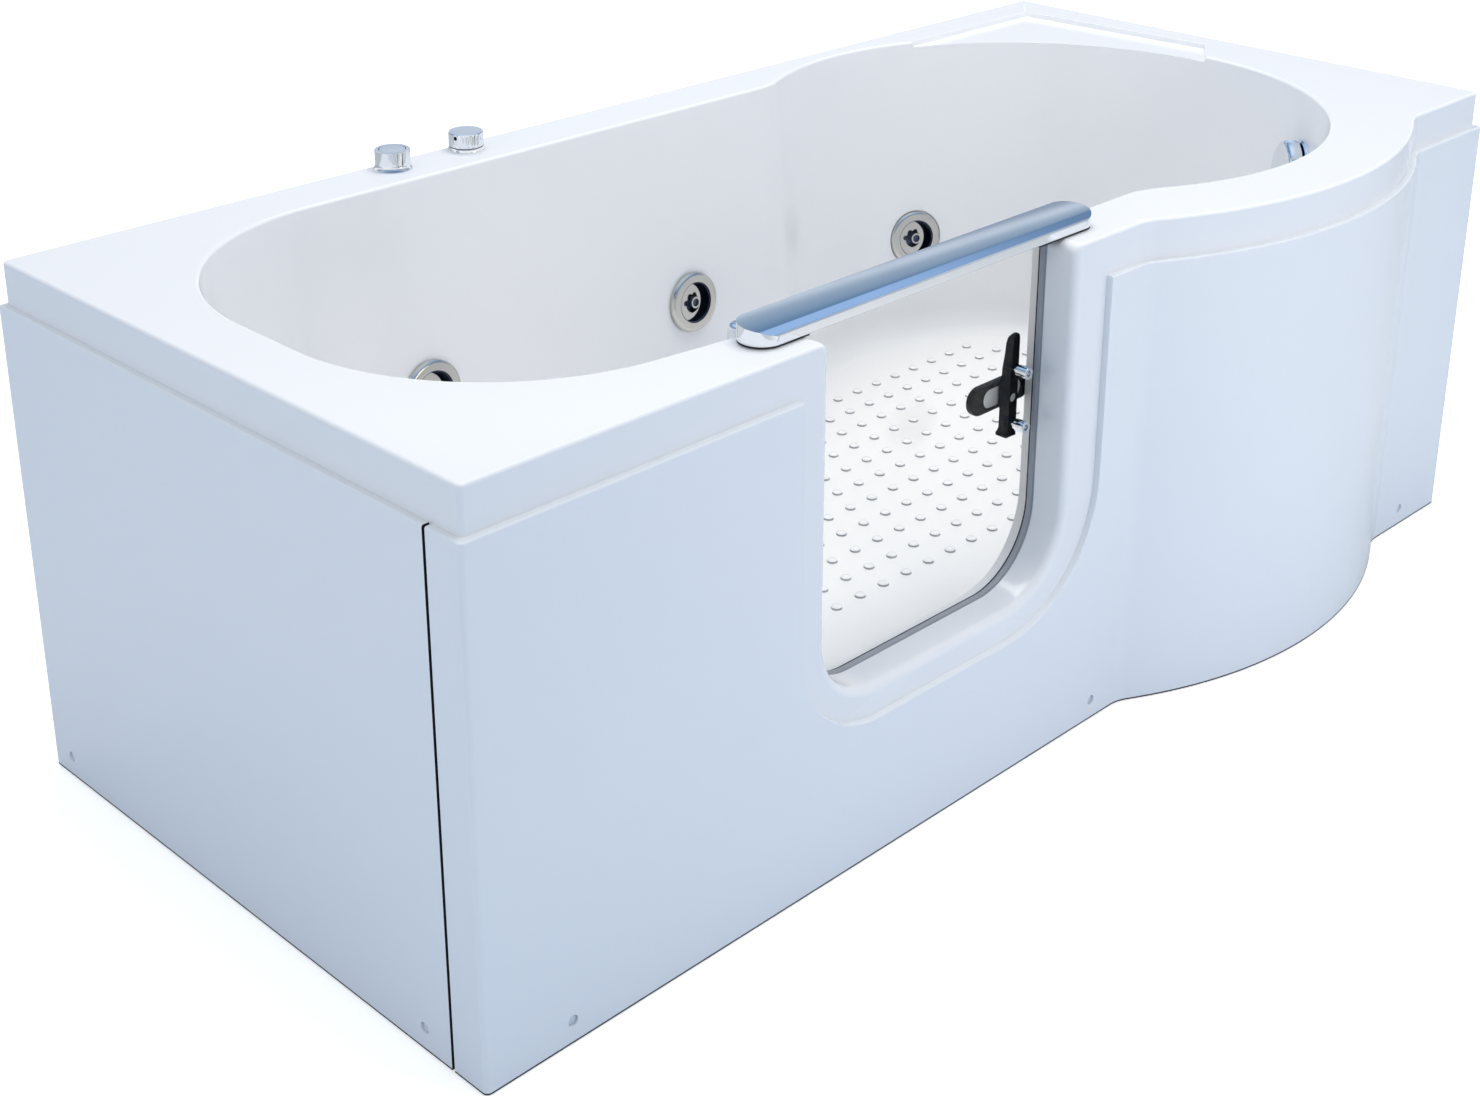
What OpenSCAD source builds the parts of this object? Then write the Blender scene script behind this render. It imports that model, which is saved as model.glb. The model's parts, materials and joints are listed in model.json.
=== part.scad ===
// Walk-in bathtub with a glass door, a bowed round end and three water jets.
// All lengths are in millimetres. X runs along the tub, Y goes from the front
// to the back and Z is up. Shapes are laid out from the front left bottom
// corner of the tub, and at_origin() moves them to the middle of its footprint.

/* [Tub] */
// Length of the tub
tub_l = 1700; // [1690:5:1710]
// Width of the straight end
tub_w = 756; // [752:2:760]
// Height of the rim above the floor
tub_h = 600; // [598:1:602]
// How far the front bows out past the straight front
bow = 80; // [70:5:90]
// Thickness of the moulded shell
wall = 6; // [5:0.5:6.5]
// Radius of the round end of the basin
basin_r = 360; // [354:2:362]
// Height of the basin floor above the ground
floor_z = 160; // [158:1:162]

/* [Door] */
// Left edge of the doorway
door_x = 440; // [436:2:444]
// Clear width of the doorway
door_w = 384; // [376:4:388]
// Height of the door sill above the ground
sill_z = 200; // [196:2:204]
// Thickness of the door glass
glass_t = 8; // [7:0.5:8]
// Radius of the hinge post
post_r = 11; // [10:0.5:12]

/* [Panels] */
// How far the side panels stand proud of the rim
panel_out = 6; // [4:1:8]
// Height of the upper edge of the panels
panel_top = 553; // [550:1:556]

/* [Jets] */
// Outer radius of a jet ring
jet_r = 40; // [38:0.5:41]
// Radius of the bore of a jet
jet_bore = 27; // [26:0.5:27.5]

/* [Hidden] */
$fn = 48;
e = 0.01;

// Middle of the footprint
mid_x = tub_l / 2;
mid_y = (tub_w - bow - panel_out) / 2;

// Outer outline of the tub
corner_r = 10;
rim_edge = 10;
bow_r = 570;
bow_fillet = 60;
bow_x = tub_l - 460;
bow_y = bow_r - bow;
bow_dy = bow_y + bow_fillet;
bow_dx = sqrt(pow(bow_r + bow_fillet, 2) - bow_dy * bow_dy);
bow_a = atan2(bow_dy, bow_dx);

// Basin: a straight channel that runs into a round end
rim_t = wall;
basin_x0 = 71;
basin_y1 = 64;
basin_y2 = tub_w - 79;
basin_cx = tub_l - 458;
basin_cy = 371;
basin_corner = 250;
basin_blend = 115;
edge_r = 8;
draft_top = tub_h - 10;
draft_low = floor_z + 45;
draft_in = 37;
front_share = 0.25;
cove_in = 36;
wall_tilt = atan2(draft_in, draft_top - draft_low);
middle_xy = [basin_cx, basin_cy];

// Doorway and door
jamb_d = 40;
rebate = 14;
seal_d = 11.7;
glass_y = jamb_d + 12;
glass_lap = 8;
door_x2 = door_x + door_w;
door_rl = 80;
door_rr = 90;
post = [door_x - 30, 92];
pad_y = 73;

// Panel cut-out round the doorway
cut_x1 = door_x - 42;
cut_x2 = door_x2 + 56;
cut_z = sill_z - 34;
cut_rl = 120;
cut_rr = 150;

// Rail on top of the door
rail_x1 = door_x - 68;
rail_x2 = door_x2 + 70;
rail_y = 48;
rail_r = 24;
rail_z = tub_h + 4;
rail_h = 16;
rail_slot = 8;

// Latch
latch_x = door_x2 - 23;
latch_z = 416;
lever_y = 76;

// Jets: x, y and z of the wall point, and the way the jet faces
jet_z = 345;
function wall_in(z) = draft_in * (draft_top - z) / (draft_top - draft_low);
jet_3_a = 68;
jet_3_z = 311;
jet_3_r = basin_r - wall_in(jet_3_z);
jets = [
    [door_x + 21, basin_y2 - wall_in(jet_z), jet_z, 90],
    [door_x + 448, basin_y2 - wall_in(jet_z), jet_z, 90],
    [basin_cx + jet_3_r * cos(jet_3_a), basin_cy + jet_3_r * sin(jet_3_a),
     jet_3_z, jet_3_a]
];
jet_seat = -1.5;
jet_back = -8;
jet_rear = -40;

// Overflow and suction on the round wall: angle, height
over_a = -40;
over_z = 505;
suct_a = 0;
suct_z = 218;

// Waste under the floor, on the line of the overflow
waste_r = 215;
waste_x = basin_cx + waste_r * cos(over_a);
waste_y = basin_cy + waste_r * sin(over_a);
trap_z = 58;

// Knobs on the back rim
button_x = door_x + 40;
button_y = tub_w - 24;
valve_x = door_x + 150;
valve_y = tub_w - 22;

// Shelf, a shallow step in the back corner of the rim
shelf_d = 7;
shelf = [[basin_cx + 132, basin_cy + 335], [basin_cx + 401, basin_cy + 335],
         [basin_cx + 424, basin_cy + 28], [basin_cx + 300, basin_cy + 28],
         [basin_cx + 132, basin_cy + 220]];
// Directions in which the corners move as the recess narrows downwards
shelf_way = [[1, -1], [-1, -1], [-1, 1], [0, 1], [1, 0]];

// Frame
bar = 30;
board_t = 12;
board_z = floor_z - wall - board_t;
side_z = board_z - bar;
cross_z = side_z - bar;
cross_x = [130, 365, door_x + 450, basin_cx - 2, basin_cx + 238];
long_x = cross_x[3];
foot_y = [60, 660];

// Pump
pump_x = tub_l - 72;
pump_z = 95;
pump_y = 600;
main_y = 620;
main_z = 127;
main_r = 14;

// Air lines
air_y = valve_y;
air_z = 440;

// ---------------------------------------------------------------- helpers

// Points on an arc about c; skip leaves out that many points at its start
function arc(c, r, a0, a1, n, skip = 0) =
    [for (i = [skip:n]) let (a = a0 + (a1 - a0) * i / n)
        [c[0] + r * cos(a), c[1] + r * sin(a)]];

// Lifts plane points to height z
function lift(pts, z) = [for (p = pts) [p[0], p[1], z]];

// Outline of the tub, drawn in by o
function outline(o) =
    let (r = max(corner_r - o, 1),
         x1 = o + r, x2 = tub_l - o - r,
         y1 = o + r, y2 = tub_w - o - r,
         fl = [bow_x - bow_dx, -bow_fillet],
         fr = [bow_x + bow_dx, -bow_fillet])
    concat(arc([x1, y1], r, 180, 270, 3),
           arc(fl, bow_fillet + o, 90, bow_a, 4),
           arc([bow_x, bow_y], bow_r - o, 180 + bow_a, 360 - bow_a, 16, 1),
           arc(fr, bow_fillet + o, 180 - bow_a, 90, 4, 1),
           arc([x2, y1], r, 270, 360, 3),
           arc([x2, y2], r, 0, 90, 3),
           arc([x1, y2], r, 90, 180, 3));

// Outline of the basin, drawn in by o, and by f at the front wall
function basin(o, f) =
    let (rc = basin_corner - o,
         rb = basin_blend + o,
         rr = basin_r - o,
         span = rb + rr,
         xc = basin_x0 + basin_corner,
         yf = basin_y1 + f - rb,
         yb = basin_y2 - o + rb,
         hf = basin_cy - yf,
         hb = yb - basin_cy,
         df = sqrt(span * span - hf * hf),
         db = sqrt(span * span - hb * hb),
         af = atan2(hf, df),
         ab = atan2(hb, db))
    concat(arc([xc, basin_y1 + f + rc], rc, 180, 270, 9),
           arc([basin_cx - df, yf], rb, 90, af, 4),
           arc([basin_cx, basin_cy], rr, 180 + af, 540 - ab, 34, 1),
           arc([basin_cx - db, yb], rb, 360 - ab, 270, 4, 1),
           arc([xc, basin_y2 - o - rc], rc, 90, 180, 9));

// Offset and height of each ring of the basin wall, from the floor up.
// t moves the rings out by a wall thickness for the outer skin.
function basin_rings(t, top) = concat(
    [for (b = [90, 65, 42, 20, 0])
        [draft_in - t + (cove_in + t / 2) * (1 - cos(b)),
         draft_low - (draft_low - floor_z + t) * sin(b),
         draft_in * front_share - t + (cove_in + t / 2) * (1 - cos(b))]],
    [[-t, draft_top, -t]],
    t > 0 ? [[-t, top, -t]] :
    concat([for (a = [60, 30, 0])
        [edge_r * (sin(a) - 1), draft_top - 2 + edge_r * cos(a) + 2,
         edge_r * (sin(a) - 1)]],
        [[-edge_r, top, -edge_r]]));

// Outline of the doorway, grown by g, from its round corners up to z = top
function doorway(g, top, x1 = door_x, x2 = door_x2, z = sill_z,
                 rl = door_rl, rr = door_rr) =
    concat([[x1 - g, top]],
           arc([x1 + rl, z + rl], rl + g, 180, 270, 8),
           arc([x2 - rr, z + rr], rr + g, 270, 360, 8),
           [[x2 + g, top]]);

// Mean of a list of points
function middle(pts) = [for (p = pts) 1] * pts / len(pts);

// Solid between rings of points, from the lowest to the highest. Each end
// is a fan about a hub, which sees every point of the ring.
module loft(rings, hub = undef) {
    n = len(rings[0]);
    m = len(rings);
    ends = [for (r = [rings[0], rings[m - 1]])
        is_undef(hub) ? middle(r) : [hub[0], hub[1], r[0][2]]];
    sides = [for (j = [0:m - 2], i = [0:n - 1])
        let (k = (i + 1) % n, a = j * n, b = a + n)
        each [[a + i, b + i, b + k], [a + i, b + k, a + k]]];
    polyhedron(
        points = concat([for (r = rings) each r], ends),
        faces = concat([for (i = [0:n - 1]) [m * n, i, (i + 1) % n]],
                       [for (i = [0:n - 1]) let (a = (m - 1) * n)
                        [m * n + 1, a + (i + 1) % n, a + i]],
                       sides));
}

// Moves a piece from the corner of the tub to the middle of its footprint
module at_origin() {
    translate([-mid_x, -mid_y, 0]) children();
}

// Extrudes an X-Z outline from y = y1 back to y = y2
module along_y(y1, y2) {
    translate([0, y2, 0]) rotate([90, 0, 0])
        linear_extrude(y2 - y1) children();
}

// Cylinders along X and Y that start at p
module rod_x(p, r, l) {
    translate(p) rotate([0, 90, 0]) cylinder(r = r, h = l);
}
module rod_y(p, r, l) {
    translate(p) rotate([-90, 0, 0]) cylinder(r = r, h = l);
}

// Places a child on the basin wall, its +Z facing into the basin
module on_wall(p, a) {
    translate(p) rotate([0, 0, a]) rotate([0, -90 + wall_tilt, 0])
        children();
}
module on_round(a, z) {
    r = basin_r - wall_in(z);
    on_wall([basin_cx + r * cos(a), basin_cy + r * sin(a), z], a)
        children();
}
module on_jet(i) {
    on_wall([jets[i][0], jets[i][1], jets[i][2]], jets[i][3]) children();
}

// Tube with a plain bore
module pipe(r, t, h) {
    difference() {
        cylinder(r = r, h = h);
        translate([0, 0, -1]) cylinder(r = r - t, h = h + 2);
    }
}

// ------------------------------------------------------------------ shell

module rim_outer() {
    rings = concat([[0, panel_top - 13], [0, tub_h - rim_edge]],
        [for (a = [30, 60, 90]) [rim_edge * (1 - cos(a)),
            tub_h - rim_edge + rim_edge * sin(a)]]);
    loft([for (r = rings) lift(outline(r[0]), r[1])], middle_xy);
}

module basin_solid(t, top) {
    loft([for (r = basin_rings(t, top)) lift(basin(r[0], r[2]), r[1])],
        middle_xy);
}

// Doorway cutter whose front edge is rounded
module doorway_cut() {
    top = tub_h + 20;
    ring = [[10.5, -2], [10, 0], [5, 1.34], [1.34, 5], [0, 10],
            [0, jamb_d + e]];
    loft([for (i = [len(ring) - 1:-1:0])
        [for (p = doorway(ring[i][0], top)) [p[0], ring[i][1], p[1]]]]);
}

module tub_shell() {
    color("white") at_origin() difference() {
        union() {
            difference() {
                rim_outer();
                translate([0, 0, panel_top - 14])
                    linear_extrude(tub_h - rim_t - panel_top + 14)
                        polygon(outline(wall));
            }
            basin_solid(wall, tub_h - rim_t / 2);
            // Apron plate round the doorway
            along_y(0, wall) polygon(doorway(15, tub_h - 10, cut_x1, cut_x2,
                cut_z, cut_rl, cut_rr));
            // Deep jambs that hold the seal
            along_y(0, 78) polygon(doorway(rebate + wall, tub_h - 1));
            // Thick part under the shelf
            translate([0, 0, tub_h - shelf_d - wall])
                linear_extrude(shelf_d + wall - 1)
                    polygon([for (i = [0:4]) shelf[i]
                        + (i < 1 ? [-8, 8] : i < 2 ? [8, 8]
                        : i < 3 ? [8, -8] : [0, 0])]);
            // Bosses behind the wall fittings
            for (i = [0:2]) on_jet(i)
                translate([0, 0, jet_back]) cylinder(r = 46, h = 4.5);
            on_round(over_a, over_z)
                translate([0, 0, jet_back]) cylinder(r = 40, h = 4.5);
            on_round(suct_a, suct_z)
                translate([0, 0, jet_back]) cylinder(r = 46, h = 4.5);
        }
        difference() {
            basin_solid(0, tub_h + 1);
            // Flat pads for the hinge brackets and the latch keeper
            for (z = [208, 542])
                translate([post[0] - 40, 40, z])
                    cube([56, pad_y - 40, 42]);
            translate([door_x2 + 17, 40, latch_z - 22])
                cube([34, 30, 44]);
        }
        doorway_cut();
        along_y(jamb_d, 79) polygon(doorway(rebate, tub_h + 20));
        loft([for (r = [[9, -shelf_d], [1, -0.8], [0, 0], [-1, 5]])
            lift([for (i = [4:-1:0]) shelf[i] + r[0] * shelf_way[i]],
                 tub_h + r[1])]);
        for (i = [0:2]) on_jet(i) {
            translate([0, 0, jet_seat]) cylinder(r = 41, h = 12);
            translate([0, 0, -20]) cylinder(r = 30, h = 30);
        }
        on_round(over_a, over_z) {
            translate([0, 0, jet_seat]) cylinder(r = 38.5, h = 12);
            translate([0, 0, -20]) cylinder(r = 20, h = 30);
        }
        on_round(suct_a, suct_z) {
            translate([0, 0, jet_seat]) cylinder(r = 41, h = 12);
            translate([0, 0, -20]) cylinder(r = 30, h = 30);
        }
        translate([waste_x, waste_y, floor_z - 20])
            cylinder(r = 22, h = 40);
        translate([button_x, button_y, tub_h - 20])
            cylinder(r = 12.5, h = 40);
        translate([valve_x, valve_y, tub_h - 20])
            cylinder(r = 12.5, h = 40);
    }
}

// ----------------------------------------------------------------- panels

// Upright skin of the panels, with a rounded upper edge
module panel_skin() {
    o = -panel_out;
    rings = [[o, 2], [o, panel_top - 4], [o + 0.8, panel_top - 1.5],
             [o + 2.8, panel_top]];
    difference() {
        loft([for (r = rings) lift(outline(r[0]), r[1])], middle_xy);
        translate([0, 0, -1]) linear_extrude(panel_top + 2)
            polygon(outline(0));
        translate([-100, tub_w, 0]) cube([tub_l + 200, 100, panel_top + 1]);
    }
}

// Places of the screw caps: front panel x, end panel y
cap_x = [95, door_x + 452, tub_l - 94];
cap_y = [81, tub_w - 35];
cap_z = 25;

module front_panel() {
    color("lightsteelblue") at_origin() difference() {
        panel_skin();
        translate([-100, 38, 0]) cube([tub_l + 200, 1000, tub_h]);
        along_y(-panel_out - 1, 1) polygon(doorway(0, tub_h, cut_x1, cut_x2,
            cut_z, cut_rl, cut_rr));
        for (x = cap_x)
            rod_y([x, -panel_out - 1, cap_z], 6, 1 + panel_out / 2);
    }
}

module end_panel() {
    color("lightsteelblue") at_origin() difference() {
        panel_skin();
        translate([-100, -200, 0]) cube([tub_l + 200, 242, tub_h]);
        translate([20, -200, 0]) cube([tub_l, 1200, tub_h]);
        for (y = cap_y)
            rod_x([-panel_out - 1, y, cap_z], 6, 1 + panel_out / 2);
    }
}

module panel_caps() {
    color("lightgray") at_origin() {
        for (x = cap_x)
            rod_y([x, -panel_out + 0.8, cap_z], 5, panel_out / 2 - 0.8);
        for (y = cap_y)
            rod_x([-panel_out + 0.8, y, cap_z], 5, panel_out / 2 - 0.8);
    }
}

// Angle cleats on the ground that the panels are screwed to
module panel_cleats() {
    color("silver") at_origin() {
        for (x = cap_x) translate([x - 15, 0, 0]) {
            cube([30, 28, 3]);
            cube([30, 3, 45]);
        }
        for (y = cap_y) translate([0, y - 15, 0]) {
            cube([28, 30, 3]);
            cube([3, 30, 45]);
        }
    }
}

// ---------------------------------------------------------------- support

module base_board() {
    color("burlywood") at_origin() difference() {
        translate([150, 140, board_z])
            cube([basin_cx + 108, 460, board_t]);
        translate([waste_x, waste_y, board_z - 1])
            cylinder(r = 50, h = board_t + 2);
    }
}

module frame_side_rails() {
    color("gray") at_origin() for (y = [150, 560])
        translate([115, y, side_z]) cube([basin_cx + 138, bar, bar]);
}

function foot_at(x) = x == long_x ? [-30, 660] : foot_y;

module frame_cross_rails() {
    color("gray") at_origin() difference() {
        for (x = cross_x) {
            y0 = x == long_x ? -62 : 12;
            translate([x - bar / 2, y0, cross_z])
                cube([bar, tub_w - 18 - y0, bar]);
        }
        for (x = cross_x) for (y = foot_at(x))
            translate([x, y, cross_z - 1]) cylinder(r = 6.05, h = 20);
    }
}

module frame_uprights() {
    color("gray") at_origin() {
        for (x = cross_x) {
            y0 = x == long_x ? -60 : 12;
            translate([x - bar / 2, y0, side_z])
                cube([bar, 25, tub_h - rim_t - side_z]);
        }
        for (i = [0, 1, 4]) {
            top = i == 4 ? tub_h - shelf_d - wall : tub_h - rim_t;
            translate([cross_x[i] - bar / 2, 690, side_z])
                cube([bar, 25, top - side_z]);
        }
    }
}

module each_foot() {
    for (x = cross_x) for (y = foot_at(x))
        translate([x, y, 0]) children();
}

module foot_pads() {
    color("dimgray") at_origin() each_foot() {
        cylinder(r = 25, h = 6);
        translate([0, 0, 6]) cylinder(r1 = 25, r2 = 12, h = 6);
    }
}

module foot_rods() {
    color("silver") at_origin() each_foot()
        translate([0, 0, 12]) cylinder(r = 6, h = cross_z + 6);
}

module foot_nuts() {
    color("silver") at_origin() each_foot()
        translate([0, 0, cross_z - 10]) difference() {
            cylinder(r = 11, h = 10, $fn = 6);
            translate([0, 0, -1]) cylinder(r = 6.02, h = 12);
        }
}

// ------------------------------------------------------------------- door

module door_seal() {
    color("gray") at_origin() difference() {
        along_y(jamb_d, jamb_d + seal_d)
            polygon(doorway(rebate, tub_h - 3));
        along_y(jamb_d - 1, jamb_d + seal_d + 1)
            polygon(doorway(0, tub_h));
    }
}

bracket_z = [214, 548];
bracket_h = 30;
bush_r = post_r + 2.5;

module hinge_brackets() {
    color("silver") at_origin() for (z = bracket_z) difference() {
        union() {
            translate([post[0] - 36, pad_y, z]) cube([50, 5, bracket_h]);
            translate([post[0] - 12, pad_y, z])
                cube([24, post[1] - pad_y, bracket_h]);
            translate([post[0], post[1], z])
                cylinder(r = post_r + 6, h = bracket_h);
        }
        translate([post[0] - 60, pad_y - 20, z - 1])
            cube([120, 20, bracket_h + 2]);
        translate([post[0], post[1], z - 1])
            cylinder(r = bush_r, h = bracket_h + 2);
        for (h = [8, 22])
            rod_y([post[0] - 29, pad_y - 1, z + h], 2.6, 10);
    }
}

module hinge_bushes() {
    color("dimgray") at_origin() for (z = bracket_z)
        translate([post[0], post[1], z]) difference() {
            cylinder(r = bush_r, h = bracket_h);
            translate([0, 0, -1])
                cylinder(r = post_r + 0.05, h = bracket_h + 2);
        }
}

module hinge_screws() {
    color("silver") at_origin() for (z = bracket_z) for (h = [8, 22]) {
        rod_y([post[0] - 29, pad_y, z + h], 2.6, 5);
        difference() {
            rod_y([post[0] - 29, pad_y + 5, z + h], 5, 2.5);
            translate([post[0] - 29, pad_y + 9, z + h]) rotate([90, 0, 0])
                cylinder(r = 2.3, h = 3, $fn = 6);
        }
    }
}

module door_glass() {
    color("lightcyan") at_origin() difference() {
        along_y(glass_y, glass_y + glass_t)
            polygon(doorway(glass_lap, rail_z + rail_slot));
        for (z = [latch_z - 30, latch_z + 34])
            rod_y([latch_x, glass_y - 1, z], 4.05, glass_t + 2);
    }
}

// Points of a bar with round ends, seen from above
function stadium(x1, x2, y, r, o) =
    concat(arc([x1 + r, y], r - o, 90, 270, 10),
           arc([x2 - r, y], r - o, -90, 90, 10));

module door_rail() {
    // Side view: depth from the front edge and height
    top = [[-1, 7.6], [0, 7.6], [0.4, 8.4], [1.5, 9.1], [8.6, 12.4],
           [9.4, 12.65], [14, 13.4], [22, 14.3], [30, 15], [42, 15.7],
           [49, 15.95]];
    color("silver") at_origin() difference() {
        intersection() {
            union() {
                for (x = [rail_x1 + rail_r, rail_x2 - rail_r])
                    translate([x, rail_y, rail_z]) {
                        cylinder(r1 = rail_r - 0.8, r2 = rail_r, h = 0.8);
                        translate([0, 0, 0.8])
                            cylinder(r = rail_r, h = rail_h);
                    }
                translate([rail_x1 + rail_r, 0, 0]) rotate([90, 0, 90])
                    linear_extrude(rail_x2 - rail_x1 - 2 * rail_r)
                        translate([rail_y - rail_r, rail_z])
                            polygon([[0.8, 0], [2 * rail_r - 0.8, 0],
                                     [2 * rail_r, 0.8],
                                     [2 * rail_r, rail_h], [0, rail_h],
                                     [0, 0.8]]);
            }
            translate([rail_x1 - 1, rail_y - rail_r, rail_z])
                rotate([90, 0, 90])
                    linear_extrude(rail_x2 - rail_x1 + 2)
                        polygon(concat([[-1, -1]], top, [[49, -1]]));
        }
        translate([door_x - glass_lap, glass_y, rail_z - 1])
            cube([door_w + 2 * glass_lap, glass_t, rail_slot + 1]);
    }
}

module rail_gaskets() {
    color("black") at_origin() difference() {
        translate([0, 0, tub_h + 0.5]) linear_extrude(3.5)
            polygon(stadium(rail_x1 + 1, rail_x2 - 1, rail_y, rail_r - 1,
                0));
        translate([door_x - 3, 0, tub_h])
            cube([door_w - 31, 100, 10]);
        translate([door_x - glass_lap - 0.5, glass_y - 0.5, tub_h])
            cube([door_w + 2 * glass_lap + 1, glass_t + 1, 10]);
    }
}

module hinge_post() {
    z0 = bracket_z[0] + 4;
    color("silver") at_origin() translate([post[0], post[1], 0])
        rotate_extrude() polygon(concat(
            [[0, z0], [post_r - 2, z0], [post_r, z0 + 2]],
            [for (a = [0:15:90])
                [post_r - 6 + 6 * cos(a), tub_h - 3 + 6 * sin(a)]],
            [[0, tub_h + 3]]));
}

// Rings bonded to the glass that carry it on the post
module hinge_clamps() {
    x2 = door_x + 28;
    color("silver") at_origin() for (z = [270, 500])
        translate([0, 0, z]) difference() {
            union() {
                translate([post[0], post[1], 0])
                    cylinder(r = post_r + 5, h = 40);
                translate([post[0], glass_y + glass_t + 12, 0])
                    cube([x2 - post[0] - 14, 18, 40]);
                translate([door_x - 6, glass_y + glass_t, 0])
                    cube([x2 - door_x + 6, 12, 40]);
            }
            translate([post[0], post[1], -1])
                cylinder(r = post_r, h = 42);
            translate([post[0] - 40, glass_y, -1])
                cube([door_x - 6 - post[0] + 40, glass_t + 12, 42]);
        }
}

module latch_bar() {
    y = glass_y + glass_t;
    prof = [[y, -46], [y + 14, -46], [y + 15, -44], [y + 14, -40],
            [y + 13, -37], [y + 13, -14], [y + 15, -10], [y + 15, 12],
            [y + 12, 24], [y + 10, 62], [y + 8, 70], [y + 4, 75],
            [y, 75]];
    face = [[-9.5, -47], [7, -47], [7, 69], [6, 73], [3.5, 76],
            [-0.5, 76], [-3, 73], [-4.2, 68], [-4.6, 52], [-7, 34],
            [-7, -36], [-7.6, -40], [-9.5, -42]];
    color("black") at_origin() difference() {
        intersection() {
            translate([latch_x - 10, 0, latch_z])
                rotate([90, 0, 90]) linear_extrude(18) polygon(prof);
            translate([latch_x, 0, latch_z]) along_y(y - 1, y + 16)
                polygon(face);
        }
        rod_y([latch_x, y - 1, latch_z], 5.05, 20);
        for (z = [latch_z - 30, latch_z + 34])
            rod_y([latch_x, y - 1, z], 4, 9);
    }
}

module latch_screws() {
    color("silver") at_origin() for (z = [latch_z - 30, latch_z + 34])
        difference() {
            union() {
                rod_y([latch_x, glass_y - 14, z], 7, 14);
                rod_y([latch_x, glass_y - 1, z], 4, glass_t + 9);
            }
            translate([latch_x, glass_y - 8, z]) rotate([90, 0, 0])
                cylinder(r = 3.6, h = 10, $fn = 6);
        }
}

// Outline with round ends, 2a long and 2b high
function oval(a, b) = concat(arc([a - b, 0], b, -90, 90, 12),
                             arc([b - a, 0], b, 90, 270, 12));

module latch_lever() {
    color("black") at_origin() translate([latch_x + 1, 0, latch_z])
        difference() {
            loft([for (r = [[3, 86], [1, 85], [0, 83], [0, lever_y + 1],
                            [1, lever_y]])
                [for (p = oval(52.5 - r[0], 16.5 - r[0]))
                    [p[0], r[1], p[1]]]]);
            along_y(lever_y - 1, lever_y + 1.5) polygon(oval(32.5, 11));
            rod_y([-1, lever_y - 1, 0], 5, 7);
        }
}

module latch_inlay() {
    color("silver") at_origin() translate([latch_x + 1, 0, latch_z])
        difference() {
            along_y(lever_y + 0.2, lever_y + 1.5) polygon(oval(32.5, 11));
            rod_y([-1, lever_y - 1, 0], 5.02, 7);
        }
}

module latch_spindle() {
    color("silver") at_origin()
        rod_y([latch_x, glass_y + glass_t + 1, latch_z], 5, 21);
}

module latch_keeper() {
    color("silver") at_origin() translate([door_x2 + 18, 70, latch_z - 20])
        difference() {
            cube([30, 4.7, 40]);
            for (z = [7, 33]) {
                rod_y([22, -1, z], 2.2, 10);
                rod_y([22, 2.7, z], 4.2, 10);
            }
        }
}

// ------------------------------------------------------------------- jets

module jet_ring(i) {
    color("silver") at_origin() on_jet(i) rotate_extrude($fn = 72)
        polygon([[jet_bore, jet_seat], [jet_r, jet_seat], [jet_r, 3],
                 [jet_r - 1.2, 5], [jet_r - 3, 6.5], [jet_r - 5, 7],
                 [jet_bore + 0.8, 7], [jet_bore, 6.2]]);
}

// Round body behind the wall with a water stub below and an air stub above
module jet_body(i) {
    color("dimgray") at_origin() {
        difference() {
            union() {
                on_jet(i) translate([0, 0, -56])
                    cylinder(r = 29.5, h = 56 + jet_seat);
                translate(jet_port(i)) translate([0, 0, -42])
                    cylinder(r = 12, h = 42);
                translate(jet_port(i)) cylinder(r = 7, h = 40);
            }
            on_jet(i) {
                translate([0, 0, -26]) cylinder(r = jet_bore, h = 40);
                translate([0, 0, -44]) cylinder(r = 5.05, h = 40);
            }
        }
    }
}

// Point inside the back of a jet body that its pipes aim at
function jet_port(i) =
    let (d = -jet_rear)
    [jets[i][0] + d * cos(jets[i][3]), jets[i][1] + d * sin(jets[i][3]),
     jets[i][2] - d * tan(wall_tilt)];

// Rotor with a crescent outlet on one side and a lobed pocket beside its pin
module jet_nozzle(i) {
    color("gainsboro") at_origin() on_jet(i) difference() {
        union() {
            translate([0, 0, -14]) cylinder(r = jet_bore - 0.4, h = 5);
            intersection() {
                translate([0, 0, -14]) cylinder(r = jet_bore - 0.4, h = 20.4);
                translate([1.8, 15.5, -14]) cylinder(r = 28, h = 30);
            }
            translate([0, 0, -40]) cylinder(r = 5, h = 27);
        }
        difference() {
            union() {
                translate([0, 5.5, -4]) cylinder(r = 12, h = 20);
                translate([3, 18, -4]) cylinder(r = 3.4, h = 20);
                translate([-9.5, 11, -4]) cylinder(r = 3.8, h = 20);
                translate([11, -2.5, -4]) cylinder(r = 3.8, h = 20);
            }
            translate([0, 0, -5]) cylinder(r = 9.4, h = 30);
        }
        translate([0, 0, 3]) cylinder(r = 6.2, h = 10);
    }
}

module jet_nuts() {
    color("gray") at_origin() for (i = [0:2]) on_jet(i)
        translate([0, 0, jet_back - 9]) difference() {
            cylinder(r = 42, h = 9);
            translate([0, 0, -1]) cylinder(r = 29.5, h = 11);
            for (a = [0:45:315]) rotate([0, 0, a])
                translate([42, 0, -1]) cylinder(r = 4, h = 11, $fn = 16);
        }
}

// -------------------------------------------------------- knobs on the rim

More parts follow.
